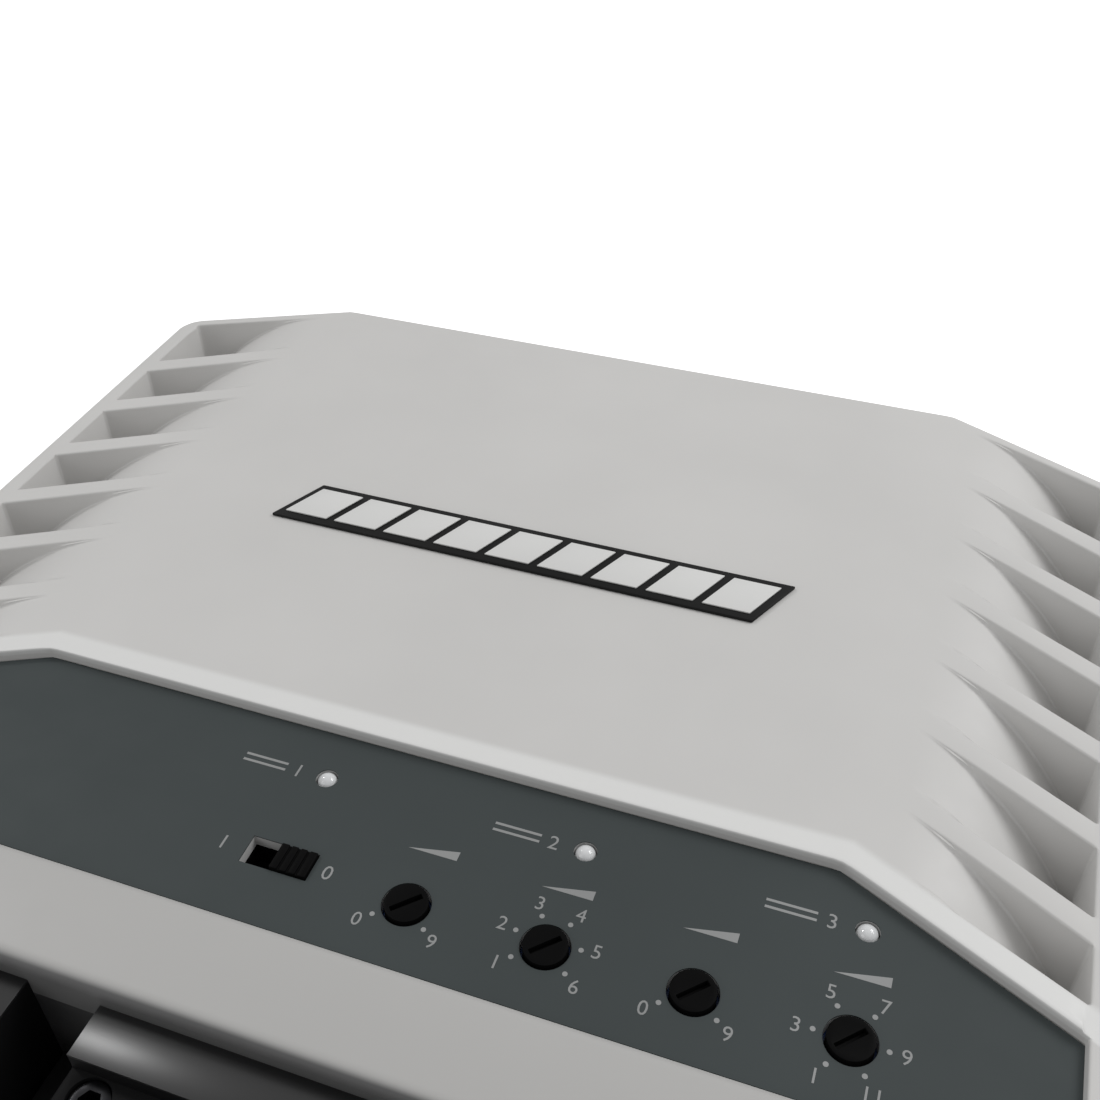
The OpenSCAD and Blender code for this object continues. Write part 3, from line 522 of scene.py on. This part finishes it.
shell_paint_and_painted_light = cast_paint_and_painted_light()
black_coat = coated("black_steel", (0.018, 0.018, 0.019), 0.12, (0.42, 0.55), 1800.0, 0.5, 0.00004)
rubber = coated("black_rubber", (0.02, 0.02, 0.02), 0.1, (0.7, 0.8), 1500.0, 0.3)
panel_paint = coated("panel_casting", (0.50, 0.50, 0.495), 0.03, (0.4, 0.5))
overlay_film = coated("overlay_print", (0.053, 0.063, 0.064), 0.05, (0.5, 0.6), 3200.0, 0.10, specular=0.2)
print_ink = coated("overlay_ink", (0.29, 0.295, 0.295), 0.10, (0.5, 0.6), specular=0.3)
badge_black = coated("badge_black", (0.007, 0.007, 0.007), 0.1, (0.5, 0.6), 2600.0, 0.05, specular=0.2)
badge_silver = coated("badge_silver", (0.70, 0.70, 0.69), 0.03, (0.32, 0.42), 3000.0, 0.08)
control_black = coated(
    "control_black", (0.0022, 0.0022, 0.0023), 0.1, (0.5, 0.6), 2200.0, 0.3, specular=0.06
)
terminal_plastic = terminal_moulding()
moulded_black = coated("moulded_black", (0.012, 0.012, 0.0125), 0.1, (0.35, 0.45), 1800.0, 0.2)
trimmer_blue = coated("trimmer_blue", (0.02, 0.05, 0.16), 0.08, (0.3, 0.4))
chip_epoxy = coated("chip_epoxy", (0.014, 0.014, 0.015), 0.1, (0.5, 0.6), 2500.0, 0.3)
ribbon_grey = coated("ribbon_grey", (0.32, 0.33, 0.35), 0.06, (0.45, 0.55))
sleeve = coated("capacitor_sleeve", (0.012, 0.016, 0.05), 0.1, (0.2, 0.3), 900.0, 0.1)
silicone = coated("thermal_pad", (0.30, 0.33, 0.37), 0.05, (0.6, 0.7))
ferrite = coated("ferrite", (0.035, 0.037, 0.035), 0.12, (0.5, 0.65), 1600.0, 0.4)
black_screw = metal("black_screws", (0.07, 0.07, 0.075), (0.35, 0.5))
zinc = metal("zinc_screws", (0.62, 0.62, 0.60), (0.25, 0.4))
brass = metal("terminal_brass", (0.70, 0.62, 0.42), (0.22, 0.36))
set_steel = metal("set_screw_steel", (0.045, 0.045, 0.048), (0.28, 0.4))
gold = metal("gold_contacts", (0.83, 0.62, 0.25), (0.15, 0.25))
nickel = metal("jack_nickel", (0.62, 0.61, 0.59), (0.14, 0.24))
bar_metal = metal("clamp_aluminium", (0.62, 0.62, 0.64), (0.3, 0.45), (1.0, 0.05, 1.0))


# ---------------------------------------------------------------- cast shell


def soft_ramp(x, start, width):
    """Distance past a corner, with the corner itself rounded over a width."""
    d = x - start
    return 0.5 * (d + np.sqrt(d * d + width * width)) - 0.25 * width


def rear_edge(x):
    """Plan line of the rear edge, flat in the middle and cut at the corners."""
    bend_width = 2.0
    return Y_BACK - CORNER_SLOPE * np.maximum(soft_ramp(np.abs(x), HALF_W - CORNER_RUN, bend_width), 0)


def rear_factor(x):
    """How much longer along Y an offset square to the rear edge is."""
    return np.where(np.abs(x) > HALF_W - CORNER_RUN, math.hypot(1, CORNER_SLOPE), 1.0)


def panel_edge(x):
    """Plan line of the rear edge of the panel's recess."""
    bend_width = 1.2
    return Y_PANEL_REAR - PANEL_SLOPE * np.maximum(soft_ramp(np.abs(x), PANEL_HALF, bend_width), 0)


def panel_factor(x):
    """How much longer along Y an offset square to the recess's edge is."""
    return np.where(np.abs(x) > PANEL_HALF, math.hypot(1, PANEL_SLOPE), 1.0)


def fin_edge(x, i):
    """Plan line of the front edge of fin i, swept on the sides and straight across the middle."""
    return Y_BACK - FIN_START - i * FIN_PITCH + (HALF_W - np.maximum(np.abs(x), FIN_INNER_X)) * FIN_SWEEP


def fin_factor(x):
    """How much longer along Y an offset square to a fin is."""
    return np.where(np.abs(x) > FIN_INNER_X, math.hypot(1, FIN_SWEEP), 1.0)


def shoulder_drop(x):
    """How far the round shoulders lie below the top."""
    d = np.clip(np.abs(x) - SHOULDER_X, 0, SHOULDER_R - 0.5)
    return SHOULDER_R - np.sqrt(SHOULDER_R**2 - d**2)


def arc(steps):
    """Angles from 0 to a right angle."""
    return [0.5 * math.pi * i / steps for i in range(steps + 1)]


def wall_profile(foot, edge, draft):
    """Points up a wall, from the floor before its foot to the flat after its edge.

    Each is (offset, rise above the floor, drop below the top). The offset is 0 at the top of the straight
    wall. Near the floor the rise holds and the drop is None, and near the top the drop holds.
    """
    start = -draft - foot
    points = [(start + foot * math.sin(a), foot * (1 - math.cos(a)), None) for a in arc(ARC_STEPS)]
    points += [(edge * (1 - math.cos(a)), None, edge * (1 - math.sin(a))) for a in arc(ARC_STEPS)]
    return points


def left_of(depth, rise, drop, foot, edge):
    """Share of a trough's depth that is left at a point of a wall profile."""
    scale = np.minimum(1 / np.maximum(depth, 1e-6), 1 / (foot + edge))
    return 1 - rise * scale if drop is None else drop * scale


def shell_columns():
    """Half of the columns, from the middle outwards: (x, rise, drop)."""
    wall = wall_profile(FOOT_R, EDGE_R, DRAFT)
    columns = [(x, 0.0, None) for x in COLUMNS_X]
    columns += [(HALF_W - RIM_T + offset, rise, drop) for offset, rise, drop in wall]
    columns += [(HALF_W - RIM_T / 2, None, 0.0)]
    columns += [(HALF_W - OUTER_R * (1 - math.sin(a)), None, 0.0) for a in arc(ARC_STEPS)]
    return columns


def shell_rows():
    """Rows from the rear edge to the lip: (y of x, rise, drop, foot, edge, kind, extra)."""
    rows = []

    def wall(line, factor, sign, edge=EDGE_R, up=True):
        """A wall whose top line is given. The sign says on which side along Y its floor lies."""
        points = wall_profile(FOOT_R, edge, DRAFT)
        for offset, rise, drop in (points if up else points[::-1]):
            y = lambda x, o=offset: line(x) - sign * o * factor(x)
            rows.append((y, rise, drop, FOOT_R, edge, "shoulder", 0.0))

    def between(line_a, line_b, count):
        """Floor rows spread evenly between two lines."""
        for i in range(1, count + 1):
            t = i / (count + 1)
            y = lambda x, t=t: (1 - t) * line_a(x) + t * line_b(x)
            rows.append((y, 0.0, None, FOOT_R, EDGE_R, "shoulder", 0.0))

    def flat(line, extra=0.0):
        """A row on the top, raised by a little."""
        rows.append((line, None, 0.0, FOOT_R, EDGE_R, "shoulder", extra))

    # Rear rim: its outer edge, its top and its inner wall
    for a in arc(ARC_STEPS):
        flat(lambda x, b=OUTER_R * (1 - math.cos(a)): rear_edge(x) - b * rear_factor(x))
    rear_line = lambda x: rear_edge(x) - REAR_T * rear_factor(x)
    wall(rear_line, rear_factor, -1, up=False)
    floor_from = lambda x: rear_edge(x) - (REAR_T + DRAFT + FOOT_R) * rear_factor(x)

    # Fins, each between two stretches of floor
    for i in range(FIN_COUNT):
        front = lambda x, i=i: fin_edge(x, i)
        rear = lambda x, i=i: fin_edge(x, i) + FIN_T
        between(floor_from, lambda x, r=rear: r(x) + (DRAFT + FOOT_R) * fin_factor(x), 4 if i == 0 else 2)
        wall(rear, fin_factor, 1)
        wall(front, fin_factor, -1, up=False)
        floor_from = lambda x, f=front: f(x) - (DRAFT + FOOT_R) * fin_factor(x)

    # Band round the back of the panel, which rises a little towards the panel
    band = lambda x: panel_edge(x) + BAND_W * panel_factor(x)
    between(floor_from, lambda x: band(x) + (DRAFT + FOOT_R) * panel_factor(x), 2)
    wall(band, panel_factor, 1, BAND_EDGE_R)
    for share in (0.3, 0.5, 0.7):
        line = lambda x, s=share: panel_edge(x) + BAND_W * (1 - s) * panel_factor(x)
        flat(line, BAND_RISE * (share - 0.15) / 0.7)
    flat(lambda x: panel_edge(x) + 0.62 * panel_factor(x), BAND_RISE)

    # Recess for the panel
    for offset, rise, drop in wall_profile(RECESS_FOOT, RECESS_EDGE, RECESS_DRAFT)[::-1]:
        y = lambda x, o=offset: panel_edge(x) + o * panel_factor(x)
        extra = BAND_RISE * (1 - (drop or 0) / RECESS_EDGE) if drop is not None else 0.0
        rows.append((y, rise, drop, RECESS_FOOT, RECESS_EDGE, "recess", extra))
    for t in (0.25, 0.5, 0.75):
        y = lambda x, t=t: (1 - t) * panel_edge(x) + t * Y_PANEL_FRONT
        rows.append((y, 0.0, None, RECESS_FOOT, RECESS_EDGE, "recess", 0.0))
    for offset, rise, drop in wall_profile(RECESS_FOOT, LIP_REAR_R, RECESS_DRAFT):
        y = lambda x, o=offset: Y_PANEL_FRONT - o + 0 * x
        rows.append((y, rise, drop, RECESS_FOOT, LIP_REAR_R, "recess", 0.0))

    # Lip: its flat top and its round front edge
    flat(lambda x: Y_LIP + LIP_FLAT + 0 * x)
    for a in arc(2 * ARC_STEPS):
        y = lambda x, a=a: Y_LIP + LIP_FRONT_R * (1 - math.sin(a)) + 0 * x
        rows.append((y, 0.0, None, 0.05, 0.6, "lip", LIP_FRONT_R * (1 - math.cos(a))))
    return rows


def outer_drop(m):
    """How far the rounded outer edge has fallen at a distance from the outline."""
    m = np.clip(m, 0, OUTER_R)
    return OUTER_R - np.sqrt(np.maximum(OUTER_R**2 - (OUTER_R - m) ** 2, 0))


def round_corners(x, y):
    """Pulls points near the two rear side corners in, so that the outline turns there on its radius."""
    length = math.hypot(1, CORNER_SLOPE)
    normal = np.array([CORNER_SLOPE, 1.0]) / length
    side = np.abs(x)
    a = HALF_W - side
    b = (Y_BACK - CORNER_SLOPE * (side - (HALF_W - CORNER_RUN)) - y) / length
    centre_x = HALF_W - CORNER_R
    centre_y = Y_BACK - CORNER_SLOPE * CORNER_RUN - CORNER_R * (length - CORNER_SLOPE)
    px, py = side - centre_x, y - centre_y
    beta = py / normal[1]
    alpha = px - beta * normal[0]
    inside = (alpha > 0) & (beta > 0)
    m = np.minimum(a, b)
    span = np.maximum(np.hypot(px, py), 1e-6)
    reach = np.maximum(CORNER_R - m, 0) / span
    new_x = np.where(inside, centre_x + px * reach, side)
    new_y = np.where(inside, centre_y + py * reach, y)
    return np.sign(x) * new_x, new_y, m


def shell_top():
    """Grid of points over the finned top, with a row for each line of shell_rows, and its columns."""
    half = shell_columns()
    columns = [(-x, rise, drop) for x, rise, drop in half[:0:-1]] + half
    rows = shell_rows()
    xs = np.array([c[0] for c in columns], float)
    grid = np.zeros((len(rows), len(columns), 3))
    for r, (line, rise, drop, foot, edge, kind, extra) in enumerate(rows):
        y = line(xs)
        depth = {
            "shoulder": shoulder_drop(xs),
            "recess": np.full_like(xs, Z_TOP - Z_LEDGE),
            "lip": np.full_like(xs, extra),
        }[kind]
        along = left_of(depth, rise, drop, foot, edge)
        across = np.ones_like(xs)
        for c, (_, c_rise, c_drop) in enumerate(columns):
            if kind == "recess" and c_drop is None:
                continue
            across[c] = left_of(depth[c], c_rise, c_drop, FOOT_R, EDGE_R)
        z = Z_TOP - depth * along * across
        if kind != "lip":
            z = z + extra * across_middle(xs)
        new_x, new_y, m = round_corners(xs, y)
        grid[r, :, 0] = new_x
        grid[r, :, 1] = new_y
        grid[r, :, 2] = z - outer_drop(m)
    return grid, columns


def across_middle(x):
    """1 over the middle and 0 on the side rims."""
    return (np.abs(x) < HALF_W - RIM_T - FOOT_R - DRAFT).astype(float)


def cheek_grids(columns, last_row):
    """Grids of the side walls that run on past the lip and round down, one for each side."""
    steps = 4 * ARC_STEPS
    grids = []
    for side in (-1, 1):
        picked = [c for c, (x, _, drop) in enumerate(columns) if x * side > 0 and drop is not None]
        grid = np.zeros((steps + 1, len(picked), 3))
        for k, t in enumerate(arc(steps)):
            for j, c in enumerate(picked):
                x, _, z = last_row[c]
                drop = Z_TOP - z
                radius = CHEEK_R - drop
                grid[k, j] = (x, Y_LIP - radius * math.sin(t), Z_TOP - CHEEK_R + radius * math.cos(t))
        grids.append((picked, grid))
    return grids


def build_shell_block():
    """Mesh of the closed block: the finned top, walls down its outline and a flat base."""
    grid, columns = shell_top()
    row_count, column_count = grid.shape[:2]
    points = [tuple(p) for p in grid.reshape(-1, 3)]
    index = lambda r, c: r * column_count + c
    faces = [
        (index(r, c), index(r, c + 1), index(r + 1, c + 1), index(r + 1, c))
        for r in range(row_count - 1) for c in range(column_count - 1)
    ]
    last = row_count - 1
    loop = [index(0, c) for c in range(column_count)]
    loop += [index(r, column_count - 1) for r in range(1, row_count)]
    ids = []
    for picked, cheek in cheek_grids(columns, grid[last]):
        start = len(points)
        steps, width = cheek.shape[:2]
        points += [tuple(p) for p in cheek[1:].reshape(-1, 3)]

        def number(k, j, start=start, width=width, picked=picked):
            return index(last, picked[j]) if k == 0 else start + (k - 1) * width + j

        faces += [
            (number(k, j), number(k, j + 1), number(k + 1, j + 1), number(k + 1, j))
            for k in range(steps - 1) for j in range(width - 1)
        ]
        ids.append((picked, steps, width, number))
    (left_picked, steps, left_w, left), (right_picked, _, right_w, right) = ids
    loop += [right(k, right_w - 1) for k in range(1, steps)]
    loop += [right(steps - 1, j) for j in range(right_w - 2, -1, -1)]
    loop += [right(k, 0) for k in range(steps - 2, -1, -1)]
    loop += [index(last, c) for c in range(right_picked[0] - 1, left_picked[-1], -1)]
    loop += [left(k, left_w - 1) for k in range(0, steps)]
    loop += [left(steps - 1, j) for j in range(left_w - 2, -1, -1)]
    loop += [left(k, 0) for k in range(steps - 2, -1, -1)]
    loop += [index(r, 0) for r in range(last - 1, 0, -1)]
    base = len(points)
    points += [(points[i][0], points[i][1], Z_SEAT) for i in loop]
    count = len(loop)
    faces += [(loop[i], loop[(i + 1) % count], base + (i + 1) % count, base + i) for i in range(count)]
    faces.append(tuple(range(base, base + count)))
    return mesh_from("shell_block", points, faces)


def hump_outline(r, top, centre_z, low):
    """Section of the space under the top, with round shoulders."""
    right = [(SHOULDER_X + r * math.cos(a), centre_z + r * math.sin(a)) for a in arc(4 * ARC_STEPS)]
    section = [(SHOULDER_X + r, low)] + right
    return section + [(-x, z) for x, z in section[::-1]]


def inset_outline(t, front):
    """Plan of the shell moved in by t, from a given front edge."""
    angle = math.atan(CORNER_SLOPE)
    half = HALF_W - t
    flat = HALF_W - CORNER_RUN - t * math.tan(angle / 2)
    side_y = Y_BACK - (t + (half - (HALF_W - CORNER_RUN)) * math.sin(angle)) / math.cos(angle)
    right = [(half, front), (half, side_y), (flat, Y_BACK - t)]
    return right + [(-x, y) for x, y in right[::-1]]


def panel_outline(t):
    """Plan of the panel moved in by t."""
    angle = math.atan(PANEL_SLOPE)
    half = HALF_W - RIM_T - t
    flat = PANEL_HALF - t * math.tan(angle / 2)
    side_y = Y_PANEL_REAR - (t + (half - PANEL_HALF) * math.sin(angle)) / math.cos(angle)
    right = [(half, Y_PANEL_FRONT + t), (half, side_y), (flat, Y_PANEL_REAR - t)]
    return right + [(-x, y) for x, y in right[::-1]]


def build_shell():
    """The cast shell: the block less its cavity, its front opening and the window under the panel."""
    pad_z = Z_LEDGE - PAD_T
    ceiling = Z_TOP - TOP_T
    cavity_r = HALF_W - WALL_T - SHOULDER_X
    far = 3 * HALF_W
    section = hump_outline(cavity_r, ceiling, ceiling - cavity_r, -5)
    room = combined(
        prism("room", inset_outline(WALL_T, Y_LIP_IN), -4, far),
        ("INTERSECT", sweep_y("section", section, -far, far)),
        ("DIFFERENCE", box("pad", (-far, -far, pad_z), (far, Y_PANEL_REAR + BAND_W, far))),
    )
    inside = HALF_W - WALL_T
    opening = box("opening", (-inside, Y_LIP - 40, -4), (inside, Y_LIP_IN + 0.2, Z_LIP))
    reach = HALF_W - WINDOW_END
    window = combined(
        prism("window", panel_outline(WINDOW_INSET), pad_z - 8, Z_LEDGE + 0.5),
        ("INTERSECT", box("reach", (-reach, -far, 0), (reach, far, far))),
    )
    mesh = combined(
        build_shell_block(),
        ("DIFFERENCE", room), ("DIFFERENCE", opening), ("DIFFERENCE", window),
    )
    parts = [mesh]
    for x, y in BOSSES:
        parts.append(prism("boss", circle(x, y, BOSS_R), Z_SEAT, Z_SEAT + BOSS_H))
    for x, y in POSTS:
        top = pad_z if y < Y_PANEL_REAR + BAND_W else ceiling
        parts.append(prism("post", circle(x, y, POST_R), Z_POST, top + 1))
    mesh = joined(*parts)
    return new_piece("cast_shell", mesh, shell_paint_and_painted_light, ROOT, ["heatsink_shell"], SHELL_SMOOTH)


build_shell()


# ---------------------------------------------------------------- pieces that keep the CAD shape

for name, width, material, slot in [
    ("base_plate", 0.25, black_coat, "black_steel"),
    ("front_plate", 0.2, black_coat, "black_steel"),
    ("power_terminal_block", 0.35, terminal_plastic, "terminal_plastic"),
    ("speaker_terminal_block", 0.35, terminal_plastic, "terminal_plastic"),
    ("remote_socket", 0.25, moulded_black, "moulded_black"),
    ("signal_jack_shells", 0.2, nickel, "jack_nickel"),
    ("signal_jack_insulators", 0.15, jack_plastic(), "jack_insulator"),
    ("power_set_screws", 0.2, set_steel, "set_screw_steel"),
    ("speaker_set_screws", 0.2, set_steel, "set_screw_steel"),
    ("front_plate_screws", 0.15, black_screw, "black_screws"),
    ("base_screws", 0.1, black_screw, "black_screws"),
    ("badge_plate", 0.12, badge_black, "badge_black"),
    ("badge_inlay", 0.08, badge_silver, "badge_silver"),
]:
    finish_node(name, width, material)

for node in ("bass_boost_knob", "boost_frequency_knob", "subsonic_knob", "gain_knob", "switch_button"):
    finish_node(node, 0.12, control_black, node)

clear_lens = lens()
board_green = circuit_board()
for name, material in {
    "base_gasket": rubber, "panel_gasket": rubber,
    "control_panel": panel_paint, "panel_overlay": overlay_film,
    "control_board": board_green, "main_board": board_green,
    "control_board_screws": zinc, "main_board_screws": zinc,
    "bass_boost_trimmer": trimmer_blue, "boost_frequency_trimmer": trimmer_blue,
    "subsonic_trimmer": trimmer_blue, "gain_trimmer": trimmer_blue, "switch_case": control_black,
    "power_indicator": clear_lens, "output_clip_indicator": clear_lens, "input_clip_indicator": clear_lens,
    "power_terminal_barrels": brass, "speaker_terminal_barrels": brass,
    "remote_socket_contacts": gold, "signal_jack_contacts": gold, "signal_jack_housing": moulded_black,
    "board_headers": moulded_black, "ribbon_cable": ribbon_grey, "control_chips": chip_epoxy,
    "transformer_core": ferrite, "output_inductor_core": ferrite,
    "transformer_winding": wound_wire(), "output_inductor_winding": wound_wire(),
    "input_capacitors": sleeve, "output_capacitors": sleeve,
    "left_transistors": chip_epoxy, "right_transistors": chip_epoxy,
    "left_thermal_pad": silicone, "right_thermal_pad": silicone,
    "left_clamp_bar": bar_metal, "right_clamp_bar": bar_metal,
    "left_clamp_screws": zinc, "right_clamp_screws": zinc,
}.items():
    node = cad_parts[name]
    node.data.materials.clear()
    node.data.materials.append(material)


# ---------------------------------------------------------------- print on the overlay

# Angles in degrees and the plain numbers that stand there, for each dial
DIALS = {
    "bass_boost_knob": [(217, "0"), (323, "9")],
    "boost_frequency_knob": [(217, "1"), (166, "2"), (115, "3"), (64, "4"), (13, "5"), (322, "6")],
    "subsonic_knob": [(217, "0"), (323, "9")],
    "gain_knob": [(240, "1"), (180, "3"), (120, "5"), (60, "7"), (0, "9"), (300, "11")],
}
DOT_RING = 4.63
DOT_R = 0.36
NUMBER_RING = 6.7
NUMBER_H = 2.1
MARK_H = 2.3
WEDGE_GAP = 8.6
WEDGE_HALF = 3.6
WEDGE_RISE = 1.5
BAR_NEAR = 6.6
BAR_FAR = 13.5
BAR_T = 0.4
BAR_PLACES = (-0.75, 0.35)
INDICATOR_MARK = 4.6
SWITCH_ON_MARK = 8.2
SWITCH_OFF_MARK = 2.4
PRINT_T = 0.03
DIGIT_SHARE = 0.72


def numeral(text, x, y, height):
    """Plain numerals centred on a point, as a thin mesh in millimetres."""
    curve = bpy.data.curves.new("numeral", "FONT")
    curve.body = text
    curve.size = height / DIGIT_SHARE
    curve.align_x = "CENTER"
    curve.extrude = PRINT_T / 2
    curve.resolution_u = 3
    made = bpy.data.objects.new("numeral", curve)
    bpy.context.scene.collection.objects.link(made)
    graph = bpy.context.evaluated_depsgraph_get()
    mesh = bpy.data.meshes.new_from_object(made.evaluated_get(graph))
    bpy.data.objects.remove(made)
    mesh.transform(Matrix.Translation((x, y - height / 2, Z_PANEL + PRINT_T / 2)))
    mesh.transform(Matrix.Scale(MM, 4))
    return mesh


def printed(name, outline):
    """A thin layer of ink over a plan outline."""
    return prism(name, outline, Z_PANEL, Z_PANEL + PRINT_T)


def plan_centre(node):
    """Middle of a CAD node in plan, in millimetres."""
    low, high = box_mm(node)
    return (low[0] + high[0]) / 2, (low[1] + high[1]) / 2


def dial_print(node, marks):
    """Dots and plain numbers round a dial, and a wedge over it."""
    cx, cy = plan_centre(node)
    parts = []
    for degrees, text in marks:
        across, along = math.cos(math.radians(degrees)), math.sin(math.radians(degrees))
        dot = circle(cx + DOT_RING * across, cy + DOT_RING * along, DOT_R, 14)
        parts.append(printed("dot", dot))
        ring = NUMBER_RING + (0.35 if len(text) > 1 else 0)
        parts.append(numeral(text, cx + ring * across, cy + ring * along, NUMBER_H))
    left, right, foot = cx - WEDGE_HALF, cx + WEDGE_HALF, cy + WEDGE_GAP
    parts.append(printed("wedge", [(left, foot), (right, foot), (right, foot + WEDGE_RISE)]))
    return parts


def indicator_print(node, text):
    """A plain number and two short bars beside an indicator."""
    cx, cy = plan_centre(node)
    parts = [numeral(text, cx - INDICATOR_MARK, cy, MARK_H)]
    for place in BAR_PLACES:
        left, right, low, high = cx - BAR_FAR, cx - BAR_NEAR, cy + place, cy + place + BAR_T
        parts.append(printed("bar", [(left, low), (right, low), (right, high), (left, high)]))
    return parts


def build_print():
    """All the print on the overlay: dials, indicators and the two ends of the switch."""
    parts = []
    for node, marks in DIALS.items():
        parts += dial_print(node, marks)
    for i, node in enumerate(("power_indicator", "output_clip_indicator", "input_clip_indicator")):
        parts += indicator_print(node, str(i + 1))
    low, high = box_mm("switch_button")
    cy = (low[1] + high[1]) / 2
    parts.append(numeral("1", low[0] - SWITCH_ON_MARK, cy, MARK_H))
    parts.append(numeral("0", high[0] + SWITCH_OFF_MARK, cy, MARK_H))
    return new_piece("overlay_marks", joined(*parts), print_ink, ROOT)


build_print()


# ---------------------------------------------------------------- stage, light and camera


def build_stage():
    """A pale floor under the object."""
    mesh = bpy.data.meshes.new("floor")
    reach = 3.0
    corners = [(-reach, -reach, 0), (reach, -reach, 0), (reach, reach, 0), (-reach, reach, 0)]
    mesh.from_pydata(corners, [], [(0, 1, 2, 3)])
    floor = bpy.data.objects.new("floor", mesh)
    bpy.context.scene.collection.objects.link(floor)
    n = Nodes("floor")
    n.link(n.ramp(n.noise(6.0), (0.86, 0.86, 0.86), (0.88, 0.88, 0.88)), n.shader.inputs["Base Color"])
    n.set(Roughness=0.9, Specular_IOR_Level=0.1, Emission_Strength=0.50)
    n.shader.inputs["Emission Color"].default_value = (1, 1, 1, 1)
    mesh.materials.append(n.material)


def area_light(name, place, target, size, power):
    """A rectangular softbox turned towards a target, in metres and watts."""
    data = bpy.data.lights.new(name, "AREA")
    data.shape = "RECTANGLE"
    data.size, data.size_y = size
    data.energy = power
    light = bpy.data.objects.new(name, data)
    light.location = place
    light.rotation_euler = (Vector(target) - Vector(place)).to_track_quat("-Z", "Y").to_euler()
    bpy.context.scene.collection.objects.link(light)


def build_light():
    """Soft sky that is bright behind and above the object, and three softboxes that shape its edges."""
    world = bpy.data.worlds.new("studio")
    bpy.context.scene.world = world
    world.use_nodes = True
    tree = world.node_tree
    place = tree.nodes.new("ShaderNodeTexCoord")
    towards = tree.nodes.new("ShaderNodeVectorMath")
    towards.operation = "DOT_PRODUCT"
    towards.inputs[1].default_value = Vector(SKY_DIRECTION).normalized()
    ramp = tree.nodes.new("ShaderNodeMapRange")
    for socket, value in zip(("From Min", "From Max", "To Min", "To Max"), (-0.35, 0.9, SKY_LOW, SKY_HIGH)):
        ramp.inputs[socket].default_value = value
    background = tree.nodes["Background"]
    background.inputs["Color"].default_value = (1, 1, 1, 1)
    tree.links.new(place.outputs["Generated"], towards.inputs[0])
    tree.links.new(towards.outputs["Value"], ramp.inputs["Value"])
    tree.links.new(ramp.outputs["Result"], background.inputs["Strength"])
    for softbox in SOFTBOXES:
        area_light(*softbox)


def build_camera():
    """Camera close in front of the right half, above the top and turned a little to the left."""
    data = bpy.data.cameras.new("camera")
    data.lens = CAMERA_LENS
    data.sensor_width = 36.0
    data.clip_start = 0.01
    camera = bpy.data.objects.new("camera", data)
    turn = Matrix((CAMERA_RIGHT, CAMERA_UP, -CAMERA_FORWARD)).transposed().to_4x4()
    camera.matrix_world = Matrix.Translation(CAMERA_PLACE * MM) @ turn
    bpy.context.scene.collection.objects.link(camera)
    bpy.context.scene.camera = camera


bpy.context.scene.view_settings.view_transform = "Standard"
build_stage()
build_light()
build_camera()
